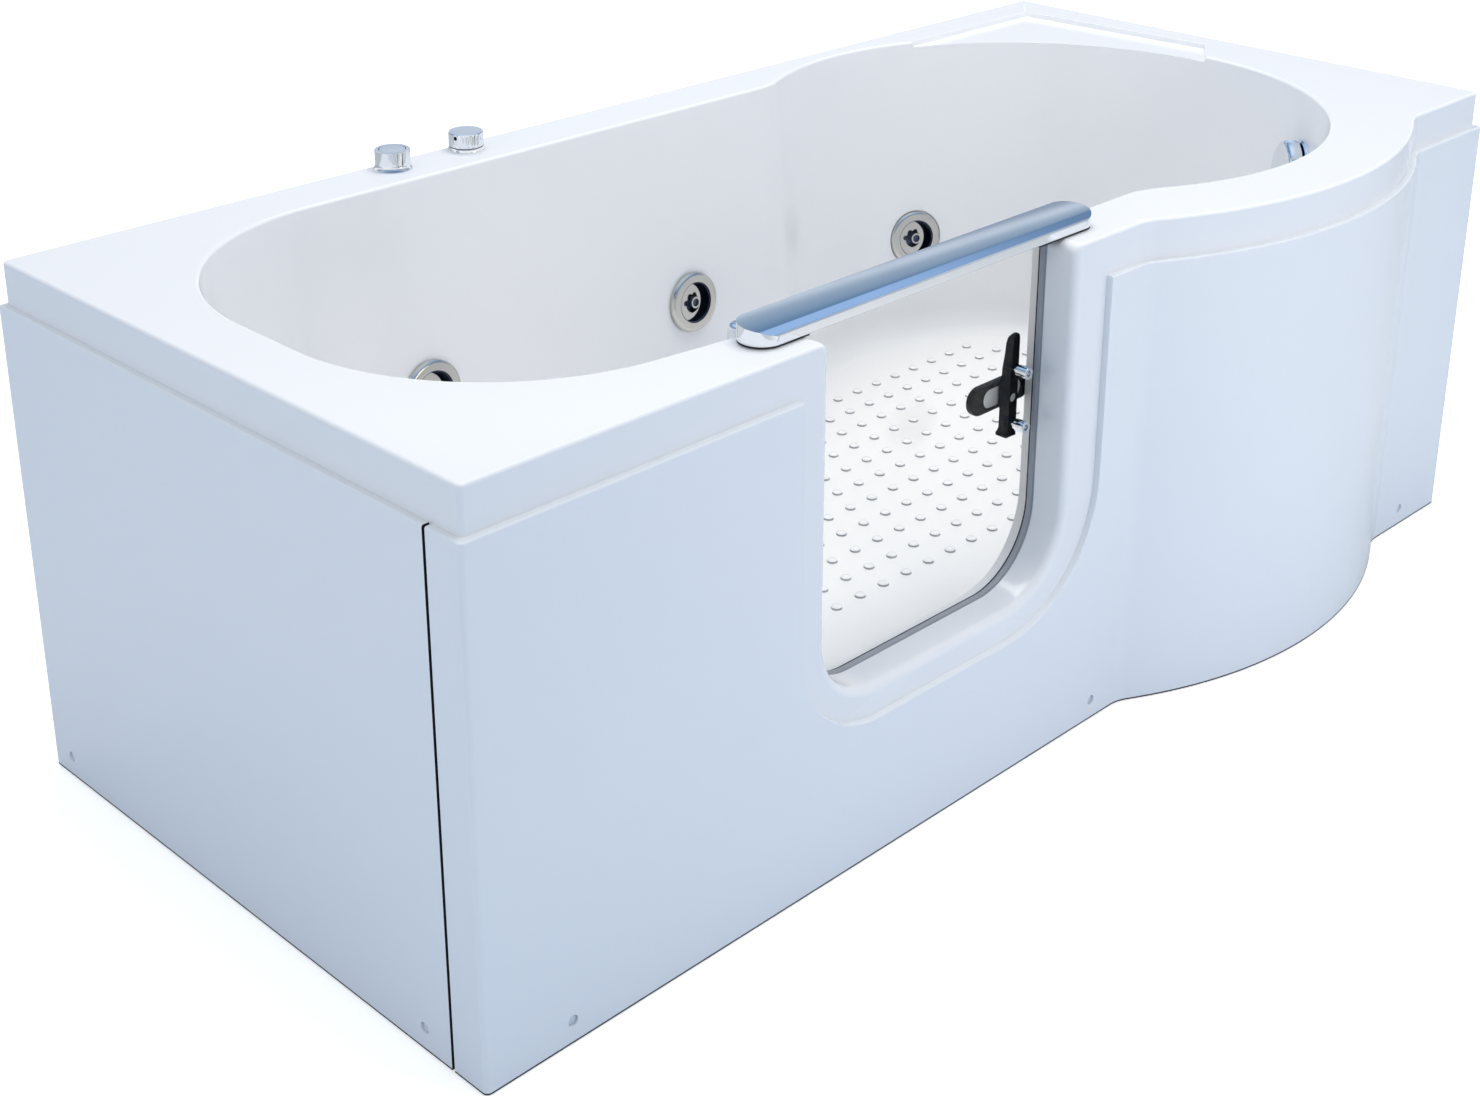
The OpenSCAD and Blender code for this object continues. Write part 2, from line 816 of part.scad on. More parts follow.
module air_button_body() {
    color("silver") at_origin() translate([button_x, button_y, tub_h])
        difference() {
            union() {
                rotate_extrude() polygon([[0, 0], [22.8, 0], [22.8, 1.4],
                    [21.4, 3.4], [20.7, 7], [20.7, 22.6], [19.6, 23.8],
                    [0, 23.8]]);
                translate([0, 0, -50]) cylinder(r = 12.4, h = 51);
            }
            translate([0, 0, 14]) cylinder(r = 15.9, h = 20);
            translate([0, 0, -40]) cylinder(r = 4.05, h = 60);
        }
}

module air_button() {
    color("gainsboro") at_origin() translate([button_x, button_y, tub_h]) {
        rotate_extrude() polygon([[0, 19], [15.5, 19], [15.5, 22.8],
            [14.8, 23.5], [8, 22.9], [0, 22.7]]);
        translate([0, 0, -10]) cylinder(r = 4, h = 30);
    }
}

module air_valve_body() {
    color("silver") at_origin() translate([valve_x, valve_y, tub_h])
        difference() {
            union() {
                rotate_extrude() polygon([[0, 0], [21.9, 0], [21.9, 1.6],
                    [21.2, 4.4], [0, 4.4]]);
                translate([0, 0, -55]) cylinder(r = 12.4, h = 56);
            }
            translate([0, 0, -30]) cylinder(r = 5.05, h = 60);
        }
}

// Finely fluted knob with a small dot on its side
module air_knob() {
    color("gainsboro") at_origin() translate([valve_x, valve_y, tub_h])
        difference() {
            union() {
                rotate_extrude() polygon([[0, 4.7], [21, 4.7],
                    [21, 21.6], [20.1, 22.5], [0, 22.5]]);
                translate([0, 0, -26]) cylinder(r = 5, h = 32);
            }
            for (a = [7.5:15:352.5]) rotate([0, 0, a])
                translate([22.1, 0, 6]) cylinder(r = 1.5, h = 14, $fn = 12);
            rotate([0, 0, 195]) translate([20, 0, 17.4]) rotate([0, 90, 0])
                cylinder(r = 2.4, h = 4, $fn = 16);
        }
}

// ----------------------------------------------------- overflow and waste

over_back = -30;

module overflow_body() {
    color("silver") at_origin() on_round(over_a, over_z) difference() {
        union() {
            translate([0, 0, jet_seat])
                rotate_extrude() polygon([[0, 0], [37, 0], [37, 3.5],
                    [35, 6], [0, 6]]);
            translate([0, 0, jet_back - 34]) cylinder(r = 19.6, h = 42);
            translate([0, 0, jet_back - 8]) cylinder(r = 32, h = 8);
        }
        translate([0, 0, -24]) cylinder(r = 6.05, h = 60);
    }
}

// Knob that also drains the overflow through a gap behind it
module overflow_knob() {
    color("silver") at_origin() on_round(over_a, over_z) {
        difference() {
            translate([0, 0, 7]) rotate_extrude() polygon([[0, 0],
                [33, 0], [35, 1.5], [35, 12], [33.5, 16.5], [29, 19.5],
                [20, 20.5], [0, 20.5]]);
            for (a = [0:60:300]) rotate([0, 0, a])
                translate([38.6, 0, 9]) cylinder(r = 6, h = 30, $fn = 20);
        }
        translate([0, 0, -22]) cylinder(r = 6, h = 30);
    }
}

over_d = 388;

// Moves to the upright plane through the overflow, X pointing outwards
module over_plane() {
    translate([basin_cx, basin_cy, 0]) rotate([0, 0, over_a]) children();
}

module overflow_pipe() {
    x2 = over_d;
    x1 = waste_r + 38;
    color("dimgray") at_origin() difference() {
        over_plane() {
            union() {
                translate([x2, 0, trap_z + 30])
                    cylinder(r = 16, h = over_z - 14 - trap_z - 30);
                translate([x2 - 30, 0, trap_z + 30]) rotate([90, 90, 0])
                    rotate_extrude(angle = 90) translate([30, 0])
                        circle(r = 16);
                rod_x([x1, 0, trap_z], 16, x2 - 30 - x1);
            }
        }
        on_round(over_a, over_z) translate([0, 0, -90])
            cylinder(r = 19.62, h = 80);
    }
}

module waste_flange() {
    color("silver") at_origin() translate([waste_x, waste_y, floor_z]) {
        difference() {
            union() {
                rotate_extrude($fn = 72) polygon([[18, -40], [21.9, -40],
                    [21.9, 0], [35, 0], [35, 1.2], [32, 3], [22, 3],
                    [18, 1]]);
                translate([0, 0, -24]) linear_extrude(8) {
                    circle(r = 8);
                    for (a = [0, 120, 240]) rotate(a)
                        translate([0, -2]) square([19.5, 4]);
                }
            }
            translate([0, 0, -30]) cylinder(r = 4.05, h = 40);
        }
    }
}

module waste_plug() {
    color("silver") at_origin() translate([waste_x, waste_y, floor_z]) {
        rotate_extrude($fn = 72) polygon([[0, 3.2], [26, 3.2], [28, 4.4],
            [28, 5], [24, 7.4], [12, 8.6], [0, 9]]);
        translate([0, 0, -34]) cylinder(r = 4, h = 38);
    }
}

module waste_body() {
    color("dimgray") at_origin() translate([waste_x, waste_y, 0])
        difference() {
            union() {
                cylinder(r = 38, h = floor_z - wall);
            }
            translate([0, 0, -1]) cylinder(r = 50, h = 29);
            translate([0, 0, 100]) cylinder(r = 21.95, h = 100);
            translate([0, 0, 36]) cylinder(r = 30, h = 66);
        }
}

module waste_outlet() {
    y1 = waste_y + 38;
    color("dimgray") at_origin() difference() {
        union() {
            rod_y([waste_x, y1 - 6, trap_z], 20, tub_w - y1 + 6);
            rod_y([waste_x, tub_w - 66, trap_z], 23, 6);
        }
        rod_y([waste_x, y1 - 8, trap_z], 17.5, tub_w - y1 + 20);
        translate([waste_x, waste_y, 20]) cylinder(r = 38, h = 90);
    }
}

// ------------------------------------------------------- suction and pump

module suction_grille() {
    color("silver") at_origin() on_round(suct_a, suct_z) difference() {
        translate([0, 0, jet_seat]) rotate_extrude($fn = 72)
            polygon([[0, 0], [38, 0], [38, 3], [35, 6.5], [28, 8.5],
                     [0, 9]]);
        for (n = [1:3]) for (k = [0:n * 6 - 1])
            rotate([0, 0, k * 60 / n]) translate([n * 8, 0, -4])
                cylinder(r = 2, h = 20, $fn = 16);
    }
}

suct_out = 74;

module suction_body() {
    color("dimgray") at_origin() on_round(suct_a, suct_z) difference() {
        union() {
            translate([0, 0, -34]) cylinder(r = 29.5, h = 34 + jet_seat);
            translate([0, 0, jet_back - 8]) cylinder(r = 42, h = 8);
        }
        translate([0, 0, -28]) cylinder(r = 26, h = 40);
    }
}

module suction_pipe() {
    r = basin_r - wall_in(suct_z);
    x1 = basin_cx + r + 30;
    z1 = suct_z - 30 * tan(wall_tilt) - 2;
    color("gray") at_origin() difference() {
        union() {
            translate([pump_x, basin_cy, pump_z + 32])
                cylinder(r = 16, h = z1 - pump_z - 32);
            translate([pump_x, basin_cy, z1]) sphere(r = 18);
            rod_x([x1, basin_cy, z1], 16, pump_x - x1);
            translate([pump_x, basin_cy + 32, pump_z + 32])
                rotate([90, 0, 90]) rotate([0, 0, 180])
                    rotate_extrude(angle = 90) translate([32, 0])
                        circle(r = 16);
            rod_y([pump_x, basin_cy + 32, pump_z], 16,
                pump_y - basin_cy - 32);
        }
        on_round(suct_a, suct_z)
            translate([0, 0, -34]) cylinder(r = 60, h = 60);
    }
}

module pump_wet_end() {
    color("dimgray") at_origin() union() {
        rod_y([pump_x, pump_y, pump_z], 24, 20);
        rod_y([pump_x, pump_y + 12, pump_z], 52, 6);
        rod_y([pump_x, pump_y + 18, pump_z], 62, 26);
        rod_y([pump_x, pump_y + 44, pump_z], 56, 6);
        rod_x([pump_x - 68, main_y + 6, main_z], 17, 68);
    }
}

module pump_motor() {
    color("slategray") at_origin() {
        difference() {
            rod_y([pump_x, pump_y + 50, pump_z], 50, 84);
            for (a = [0:20:340]) translate([pump_x, pump_y + 58, pump_z])
                rotate([0, a, 0]) translate([48, 0, -1.5])
                    cube([6, 66, 3]);
        }
        rod_y([pump_x, pump_y + 134, pump_z], 44, 8);
        translate([pump_x - 26, pump_y + 70, pump_z + 44])
            cube([52, 44, 26]);
        rod_x([pump_x - 38, pump_y + 92, pump_z + 58], 7, 12);
    }
}

module pump_base() {
    color("black") at_origin() difference() {
        union() {
            translate([pump_x - 44, pump_y + 56, 8]) cube([88, 74, 6]);
            for (x = [-32, 32]) for (y = [66, 120])
                translate([pump_x + x, pump_y + y, 0])
                    cylinder(r = 9, h = 8);
            for (y = [60, 112]) translate([pump_x - 36, pump_y + y, 14])
                cube([72, 12, 50]);
        }
        rod_y([pump_x, pump_y + 40, pump_z], 50, 120);
    }
}

// Water main under the tub with a riser to each jet
module water_pipe() {
    x2 = pump_x - 68;
    x1 = jet_port(0)[0];
    y = main_y + 6;
    color("gray") at_origin() {
        rod_x([x1 - 22, y, main_z], main_r, x2 - x1 + 22);
        for (i = [0:2]) {
            p = jet_port(i);
            rod_y([p[0], y, main_z], 11, p[1] - y);
            translate([p[0], p[1], main_z - 13]) cylinder(r = 15, h = 28);
            translate([p[0], p[1], main_z])
                cylinder(r = 12, h = p[2] - 42 - main_z);
        }
    }
}

module air_pipe() {
    r = 6;
    color("gainsboro") at_origin() {
        x1 = jet_port(0)[0];
        x2 = jet_port(2)[0];
        rod_x([x1 - 12, air_y, air_z], r, x2 - x1 + 24);
        translate([valve_x, air_y, air_z])
            cylinder(r = r - 1, h = tub_h - 55 - air_z);
        for (i = [0:2]) {
            p = jet_port(i);
            rod_y([p[0], p[1], air_z], r - 1, air_y - p[1]);
            translate([p[0], p[1], air_z - 7]) cylinder(r = 7.5, h = 14);
            translate([p[0], p[1], p[2] + 40])
                cylinder(r = r - 1, h = air_z - p[2] - 40);
        }
    }
}

// Route of the thin air hose from the button to the pump switch
hose = [[button_x, button_y, tub_h - 50], [button_x, button_y, tub_h - 66],
        [button_x + 8, button_y + 6, tub_h - 88],
        [button_x + 30, button_y + 12, tub_h - 100],
        [door_x + 760, button_y + 12, tub_h - 100],
        [pump_x - 60, button_y + 12, tub_h - 100],
        [pump_x - 20, button_y + 8, tub_h - 112],
        [pump_x - 4, button_y, tub_h - 150],
        [pump_x, button_y - 16, tub_h - 220],
        [pump_x, button_y - 36, tub_h - 330],
        [pump_x, pump_y + 92, pump_z + 110],
        [pump_x, pump_y + 92, pump_z + 70]];

function unit(v) = v / norm(v);

// Rings of a round tube along a route. Each ring faces the mean direction.
function sweep_rings(pts, r, n) =
    [for (i = [0:len(pts) - 1])
        let (a = i == 0 ? 0 : i - 1,
             b = i == len(pts) - 1 ? i : i + 1,
             d = i == len(pts) - 1 ? [0, 0, -1]
               : i == 0 ? [0, 0, -1] : unit(pts[b] - pts[a]),
             s = unit(cross(d, [0.02, 1, 0.03])),
             t = cross(d, s))
        [for (k = [0:n - 1]) let (g = 360 * k / n)
            pts[i] + r * (cos(g) * s + sin(g) * t)]];

module air_hose() {
    color("black") at_origin() loft(sweep_rings(hose, 3, 8));
}

// Jet pieces by number
module jet_ring_1() { jet_ring(0); }
module jet_ring_2() { jet_ring(1); }
module jet_ring_3() { jet_ring(2); }
module jet_nozzle_1() { jet_nozzle(0); }
module jet_nozzle_2() { jet_nozzle(1); }
module jet_nozzle_3() { jet_nozzle(2); }
module jet_body_1() { jet_body(0); }
module jet_body_2() { jet_body(1); }
module jet_body_3() { jet_body(2); }

tub_shell();
front_panel();
end_panel();
panel_caps();
panel_cleats();
base_board();
frame_side_rails();
frame_cross_rails();
frame_uprights();
foot_pads();
foot_rods();
foot_nuts();
door_seal();
hinge_brackets();
hinge_bushes();
hinge_screws();
door_glass();
door_rail();
rail_gaskets();
hinge_post();
hinge_clamps();
latch_bar();
latch_screws();
latch_lever();
latch_inlay();
latch_spindle();
latch_keeper();
jet_ring_1();
jet_ring_2();
jet_ring_3();
jet_nozzle_1();
jet_nozzle_2();
jet_nozzle_3();
jet_body_1();
jet_body_2();
jet_body_3();
jet_nuts();
air_button_body();
air_button();
air_valve_body();
air_knob();
overflow_body();
overflow_knob();
overflow_pipe();
waste_flange();
waste_body();
waste_plug();
waste_outlet();
suction_grille();
suction_body();
suction_pipe();
pump_motor();
pump_wet_end();
pump_base();
water_pipe();
air_pipe();
air_hose();
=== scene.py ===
# %% [markdown]
# # A walk-in bath with a glass door
#
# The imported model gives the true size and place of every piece. This script
# loads it, lights it like a studio and then builds the visible pieces again
# with finer curves. All measures are in millimetres from the tub's bottom
# front left corner, and spot() turns them into metres about the middle of its
# footprint.

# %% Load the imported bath
import json
import math

import bpy
from mathutils import Matrix, Vector


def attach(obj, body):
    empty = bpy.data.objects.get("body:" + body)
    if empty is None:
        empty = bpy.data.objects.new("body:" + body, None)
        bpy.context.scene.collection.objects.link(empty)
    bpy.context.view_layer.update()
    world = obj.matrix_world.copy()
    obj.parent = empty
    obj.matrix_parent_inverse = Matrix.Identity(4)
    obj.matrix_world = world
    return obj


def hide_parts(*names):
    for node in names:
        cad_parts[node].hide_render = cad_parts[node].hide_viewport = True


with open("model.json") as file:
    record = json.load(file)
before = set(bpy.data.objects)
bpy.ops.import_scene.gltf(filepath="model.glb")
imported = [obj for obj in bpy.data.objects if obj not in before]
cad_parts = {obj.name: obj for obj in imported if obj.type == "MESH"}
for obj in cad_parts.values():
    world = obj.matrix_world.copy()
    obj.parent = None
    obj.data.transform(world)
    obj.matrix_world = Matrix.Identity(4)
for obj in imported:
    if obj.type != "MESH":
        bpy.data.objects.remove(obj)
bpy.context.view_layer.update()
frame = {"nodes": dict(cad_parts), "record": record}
scene = bpy.context.scene
NODES = frame["nodes"]
MID_X, MID_Y = 850, 335


def spot(x, y, z):
    """A point of the drawing, in mm, as a point of the scene, in metres."""
    return ((x - MID_X) / 1000, (y - MID_Y) / 1000, z / 1000)


# %% [markdown]
# ## The camera
#
# The lens, its shift and the camera's place come from lining up the tub's
# straight edges with the picture.

# %% Place the camera
lens_mm = 52.606
camera_data = bpy.data.cameras.new("camera")
camera_data.lens = lens_mm
camera_data.sensor_width = 36
camera_data.shift_x = -0.0008
camera_data.shift_y = -0.15553
camera_data.clip_end = 100
camera = bpy.data.objects.new("camera", camera_data)
camera.location = spot(-950.66, -1262.39, 1350.5)
camera.rotation_euler = [math.radians(a) for a in (68.8282, -0.1192, -45.1545)]
scene.collection.objects.link(camera)
scene.camera = camera
print("camera at", tuple(camera.location))

# %% [markdown]
# ## Small helpers for modelling
#
# Blender's operators act on what is selected, so each helper first selects
# its piece. A modifier is applied as soon as it is added, because the next
# step needs the finished mesh.

# %% Select a piece


def take_none():
    """Leaves nothing selected."""
    if bpy.context.mode != "OBJECT":
        bpy.ops.object.mode_set(mode="OBJECT")
    bpy.ops.object.select_all(action="DESELECT")


def take(piece):
    """Makes the piece the only selected object."""
    take_none()
    piece.select_set(True)
    bpy.context.view_layer.objects.active = piece
    return piece


def mesh_piece(name, points, faces=(), edges=()):
    """A new object with this mesh, selected."""
    mesh = bpy.data.meshes.new(name)
    mesh.from_pydata([tuple(p) for p in points], list(edges), list(faces))
    piece = bpy.data.objects.new(name, mesh)
    scene.collection.objects.link(piece)
    return take(piece)


# %% Clean, cut and shade a piece


def edit(piece):
    """Opens the piece for editing, with all of it selected."""
    take(piece)
    bpy.ops.object.mode_set(mode="EDIT")
    bpy.ops.mesh.select_all(action="SELECT")


def tidy_faces(piece):
    """Joins doubled points and turns every face outwards."""
    edit(piece)
    bpy.ops.mesh.remove_doubles(threshold=1e-6)
    bpy.ops.mesh.normals_make_consistent(inside=False)
    bpy.ops.object.mode_set(mode="OBJECT")
    return piece


def apply_step(piece, step):
    """Applies one modifier."""
    take(piece)
    bpy.ops.object.modifier_apply(modifier=step.name)


def boolean(piece, tool, how="DIFFERENCE"):
    """Cuts the tool out of the piece, or joins it on, and removes the tool."""
    step = piece.modifiers.new("boolean", "BOOLEAN")
    step.operation = how
    step.solver = "EXACT"
    step.object = tool
    apply_step(piece, step)
    bpy.data.objects.remove(tool, do_unlink=True)
    return piece


def smooth(piece, angle):
    """Smooth shading that keeps creases and flat faces crisp."""
    take(piece)
    bpy.ops.object.shade_smooth_by_angle(angle=math.radians(angle))
    step = piece.modifiers.new("weighted", "WEIGHTED_NORMAL")
    step.keep_sharp = True
    apply_step(piece, step)
    return piece


# %% [markdown]
# ## Lofts
#
# Nearly every moulded piece here is a stack of outlines, one above or behind
# the other. Such a skin could be bridged by hand in edit mode. Writing its
# faces from the rings instead keeps each ring's points in step with the next,
# and a fan closes each end.

# %% Arcs, lofts and plates


def arc(centre, radius, start, end, steps, skip=0):
    """Points on an arc, leaving out the first few."""
    turns = [math.radians(start + (end - start) * i / steps)
             for i in range(skip, steps + 1)]
    return [(centre[0] + radius * math.cos(a),
             centre[1] + radius * math.sin(a)) for a in turns]


def loft(name, rings, hub=None):
    """Closed skin over rings of drawing points, each end a fan on a hub."""
    n = len(rings[0])
    points = [p for ring in rings for p in ring]
    faces = []
    for j in range(len(rings) - 1):
        a, b = j * n, (j + 1) * n
        for i in range(n):
            k = (i + 1) % n
            faces.append((a + i, a + k, b + k, b + i))
    for ring, first, flip in ((rings[0], 0, True),
                              (rings[-1], (len(rings) - 1) * n, False)):
        centre = [sum(p[c] for p in ring) / n for c in range(3)]
        if hub:
            centre = [hub[0], hub[1], ring[0][2]]
        top = len(points)
        points.append(centre)
        for i in range(n):
            k = (i + 1) % n
            faces.append((top, first + k, first + i) if flip
                         else (top, first + i, first + k))
    piece = mesh_piece(name, [spot(*p) for p in points], faces)
    return tidy_faces(piece)


def plate(name, outline, z1, z2, hub=None):
    """An outline in X and Y as a plate from z1 up to z2."""
    return loft(name, [[(x, y, z) for x, y in outline] for z in (z1, z2)], hub)


def slab(name, outline, y1, y2):
    """An outline in X and Z as a plate from y1 back to y2."""
    return loft(name, [[(x, y, z) for x, z in outline] for y in (y2, y1)])


# %% [markdown]
# ## Finishes
#
# A real surface is never one flat colour: acrylic is slightly uneven, steel
# shows fine brushing and rubber holds dust. One shared group lets two related
# colours and the roughness drift, and gives a fine relief.

# %% The shared surface group


def set_inputs(node, values):
    """Gives a node's inputs their values."""
    for title, value in values.items():
        node.inputs[title].default_value = value
    return node


def add_node(tree, kind, operation=None, **values):
    """A shader node, with its operation and the values of its inputs."""
    node = tree.nodes.new("ShaderNode" + kind)
    if operation:
        node.operation = operation
    if kind == "Mix":
        node.data_type = "RGBA"
    return set_inputs(node, values)


def link(tree, pairs):
    """Joins each output to its input."""
    for output, socket in pairs:
        tree.links.new(output, socket)


surface = bpy.data.node_groups.new("surface_life", "ShaderNodeTree")
for way, sockets in (
        ("INPUT", {"Colour": "Color", "Second colour": "Color",
                   "Drift size": "Float", "Rough low": "Float",
                   "Rough high": "Float", "Grain size": "Float",
                   "Stretch": "Vector"}),
        ("OUTPUT", {"Colour": "Color", "Roughness": "Float",
                    "Height": "Float"})):
    for title, kind in sockets.items():
        surface.interface.new_socket(title, in_out=way,
                                     socket_type="NodeSocket" + kind)
g_in = surface.nodes.new("NodeGroupInput")
g_out = surface.nodes.new("NodeGroupOutput")
coords = add_node(surface, "TexCoord")
scaled = add_node(surface, "VectorMath", "MULTIPLY")
drift = add_node(surface, "TexNoise", Detail=3)
grain = add_node(surface, "TexNoise", Detail=4)
blend = add_node(surface, "Mix")
rough = add_node(surface, "MapRange")
join = add_node(surface, "Math", "MULTIPLY_ADD")
half = add_node(surface, "Math", "MULTIPLY")
for halved in (join, half):
    halved.inputs[1].default_value = 0.5
link(surface, (
    (coords.outputs["Object"], scaled.inputs[0]),
    (g_in.outputs["Stretch"], scaled.inputs[1]),
    (scaled.outputs[0], drift.inputs["Vector"]),
    (scaled.outputs[0], grain.inputs["Vector"]),
    (g_in.outputs["Drift size"], drift.inputs["Scale"]),
    (g_in.outputs["Grain size"], grain.inputs["Scale"]),
    (drift.outputs["Fac"], blend.inputs["Factor"]),
    (g_in.outputs["Colour"], blend.inputs["A"]),
    (g_in.outputs["Second colour"], blend.inputs["B"]),
    (blend.outputs["Result"], g_out.inputs["Colour"]),
    (grain.outputs["Fac"], half.inputs[0]),
    (drift.outputs["Fac"], join.inputs[0]),
    (half.outputs[0], join.inputs[2]),
    (join.outputs[0], rough.inputs["Value"]),
    (g_in.outputs["Rough low"], rough.inputs["To Min"]),
    (g_in.outputs["Rough high"], rough.inputs["To Max"]),
    (rough.outputs["Result"], g_out.inputs["Roughness"]),
    (grain.outputs["Fac"], g_out.inputs["Height"])))
print("shared group:", surface.name)

# %% [markdown]
# A finish is the group's output fed into one Principled shader. The relief is
# a bump of at most 0.4 mm, since everything larger is modelled. Acrylic gets a
# thin clear coat, which gives it the soft double highlight of a moulded bath.

# %% One function that mixes a finish


def finish(name, colour, second, low, high, relief=0.0, metallic=0.0,
           coat=0.0, drift=6.0, grain=400.0, stretch=(1, 1, 1), ior=1.5,
           transmission=0.0, specular=0.5):
    """A material with drifting colour and roughness and a fine relief."""
    material = bpy.data.materials.new(name)
    material.use_nodes = True
    tree = material.node_tree
    shader = tree.nodes["Principled BSDF"]
    life = add_node(tree, "Group")
    life.node_tree = surface
    set_inputs(shader, {"Metallic": metallic, "IOR": ior,
                        "Transmission Weight": transmission,
                        "Coat Weight": coat, "Coat Roughness": 0.04,
                        "Specular IOR Level": specular})
    set_inputs(life, {"Colour": (*colour, 1), "Second colour": (*second, 1),
                      "Drift size": drift, "Rough low": low,
                      "Rough high": high, "Grain size": grain,
                      "Stretch": stretch})
    link(tree, ((life.outputs["Colour"], shader.inputs["Base Color"]),
                (life.outputs["Roughness"], shader.inputs["Roughness"])))
    if relief:
        bump = add_node(tree, "Bump", Strength=relief, Distance=0.0004)
        link(tree, ((life.outputs["Height"], bump.inputs["Height"]),
                    (bump.outputs["Normal"], shader.inputs["Normal"])))
    return material


# %% [markdown]
# The table gives each material slot its finish: two related colours, then
# the lowest and highest roughness. The panels are the tub's acrylic made a
# shade bluer and darker, as painted shade for the cool light on their upright
# faces. The pane's index of refraction is kept low, so that it
# shows no bent picture of the floor behind it.

# %% The finishes
FINISH = {
    "acrylic": finish(
        "white_acrylic", (0.87, 0.87, 0.88), (0.84, 0.845, 0.86), 0.10, 0.20,
        relief=0.03, coat=0.35, drift=3.0, grain=160),
    # Painted shade: the panels' acrylic is a bluer, darker copy of the tub's,
    # for the cool light on upright faces.
    "panel": finish(
        "panel_acrylic_cool_shade", (0.85, 0.865, 0.885), (0.82, 0.84, 0.865), 0.14, 0.26,
        relief=0.04, coat=0.3, drift=3.0, grain=140),
    "cap": finish(
        "cap_plastic", (0.70, 0.74, 0.79), (0.64, 0.68, 0.73), 0.30, 0.42,
        relief=0.1),
    "steel_frame": finish(
        "painted_frame_steel", (0.20, 0.22, 0.24), (0.17, 0.185, 0.20), 0.35,
        0.55, relief=0.25, drift=12),
    "zinc": finish(
        "zinc_plated_steel", (0.60, 0.62, 0.62), (0.50, 0.52, 0.50), 0.28,
        0.48, relief=0.2, metallic=1.0, drift=40),
    "board": finish(
        "plywood_board", (0.43, 0.28, 0.14), (0.33, 0.20, 0.09), 0.55, 0.80,
        relief=0.6, drift=9, grain=60, stretch=(0.6, 9, 9)),
    "rubber_black": finish(
        "black_rubber", (0.012, 0.012, 0.013), (0.022, 0.022, 0.024), 0.50,
        0.75, relief=0.5),
    "foot_plastic": finish(
        "foot_plastic", (0.04, 0.042, 0.045), (0.03, 0.03, 0.033), 0.40, 0.60,
        relief=0.4),
    "seal_grey": finish(
        "grey_seal_rubber", (0.38, 0.395, 0.43), (0.32, 0.335, 0.365), 0.32,
        0.48, relief=0.15, drift=10),
    # Painted shadow: a near-black finish for the panels' lowest edge and the
    # corner gap, where shade falls.
    "gap_shadow_paint": finish(
        "painted_gap_shadow", (0.010, 0.012, 0.018), (0.016, 0.018, 0.024), 0.6,
        0.8, relief=0.3),
    "chrome": finish(
        "polished_chrome", (0.86, 0.88, 0.90), (0.80, 0.83, 0.86), 0.03, 0.09,
        metallic=1.0, drift=20),
    "nickel": finish(
        "satin_nickel", (0.66, 0.64, 0.60), (0.56, 0.545, 0.51), 0.16, 0.30,
        relief=0.08, metallic=1.0, drift=30, grain=700),
    "satin_top": finish(
        "satin_top_face", (0.50, 0.56, 0.64), (0.46, 0.52, 0.61), 0.20, 0.32,
        metallic=0.25, drift=30),
    "glass": finish(
        "clear_glass", (0.99, 0.98, 0.95), (0.985, 0.975, 0.945), 0.0, 0.01,
        ior=1.14, transmission=1.0, specular=0.0),
    "lever_black": finish(
        "black_gloss_plastic", (0.004, 0.004, 0.005), (0.008, 0.008, 0.010),
        0.20, 0.34, relief=0.06, specular=0.12),
    "inlay": finish(
        "brushed_inlay", (0.66, 0.69, 0.72), (0.58, 0.61, 0.65), 0.28, 0.40,
        relief=0.1, metallic=0.35, drift=30),
    # Painted shade: a dark metal for the cup, pocket floor and pin behind each
    # rotor, where the bore lies in shade.
    "rotor_shade_paint": finish(
        "painted_shade_cup", (0.040, 0.050, 0.085), (0.075, 0.090, 0.135), 0.06,
        0.14, metallic=0.9, drift=60),
    "bush": finish(
        "bush_plastic", (0.03, 0.031, 0.034), (0.02, 0.02, 0.022), 0.4, 0.6,
        relief=0.2),
    "pipe_grey": finish(
        "grey_pipe", (0.42, 0.44, 0.46), (0.37, 0.39, 0.41), 0.30, 0.45,
        relief=0.1),
    "pipe_dark": finish(
        "dark_pipe", (0.085, 0.09, 0.095), (0.065, 0.07, 0.075), 0.30, 0.48,
        relief=0.15),
    "pump_body": finish(
        "pump_plastic", (0.030, 0.034, 0.038), (0.022, 0.025, 0.028), 0.35,
        0.52, relief=0.35),
    "motor": finish(
        "motor_enamel", (0.10, 0.15, 0.21), (0.08, 0.12, 0.17), 0.28, 0.45,
        relief=0.25, drift=14),
    "air_line": finish(
        "milky_air_line", (0.62, 0.65, 0.66), (0.55, 0.58, 0.60), 0.25, 0.4,
        relief=0.05),
}
print("finishes:", len(FINISH))

# %% [markdown]
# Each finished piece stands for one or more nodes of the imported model. It
# takes their material slot and rides on their body, so that the joints move
# it.

# %% Fit a finish, a body and a slot to a piece
BODY_OF = {node: body
           for body, nodes in frame["record"]["behaviour"]["bodies"].items()
           for node in nodes}
SLOT_OF = {row["node"]: row["material_slot"]
           for row in frame["record"]["subparts"]}
done = set()


def fit(piece, *nodes, slot=None, body=None, finish_name=None, angle=32):
    """Smooths the piece and gives it these nodes' place, body and finish."""
    smooth(piece, angle)
    slot = slot or SLOT_OF[nodes[0]]
    piece.data.materials.clear()
    piece.data.materials.append(FINISH[finish_name or slot])
    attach(piece, body or BODY_OF[nodes[0]])
    if nodes:
        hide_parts(*nodes)
        done.update(nodes)
    print(piece.name, len(piece.data.polygons), "faces")
    return piece


def paint(piece, finish_name, here):
    """Gives a second finish to the faces whose middle and normal pass."""
    piece.data.materials.append(FINISH[finish_name])
    for face in piece.data.polygons:
        middle = (face.center.x * 1000 + MID_X, face.center.y * 1000 + MID_Y,
                  face.center.z * 1000)
        if here(middle, face.normal):
            face.material_index = 1
    return piece


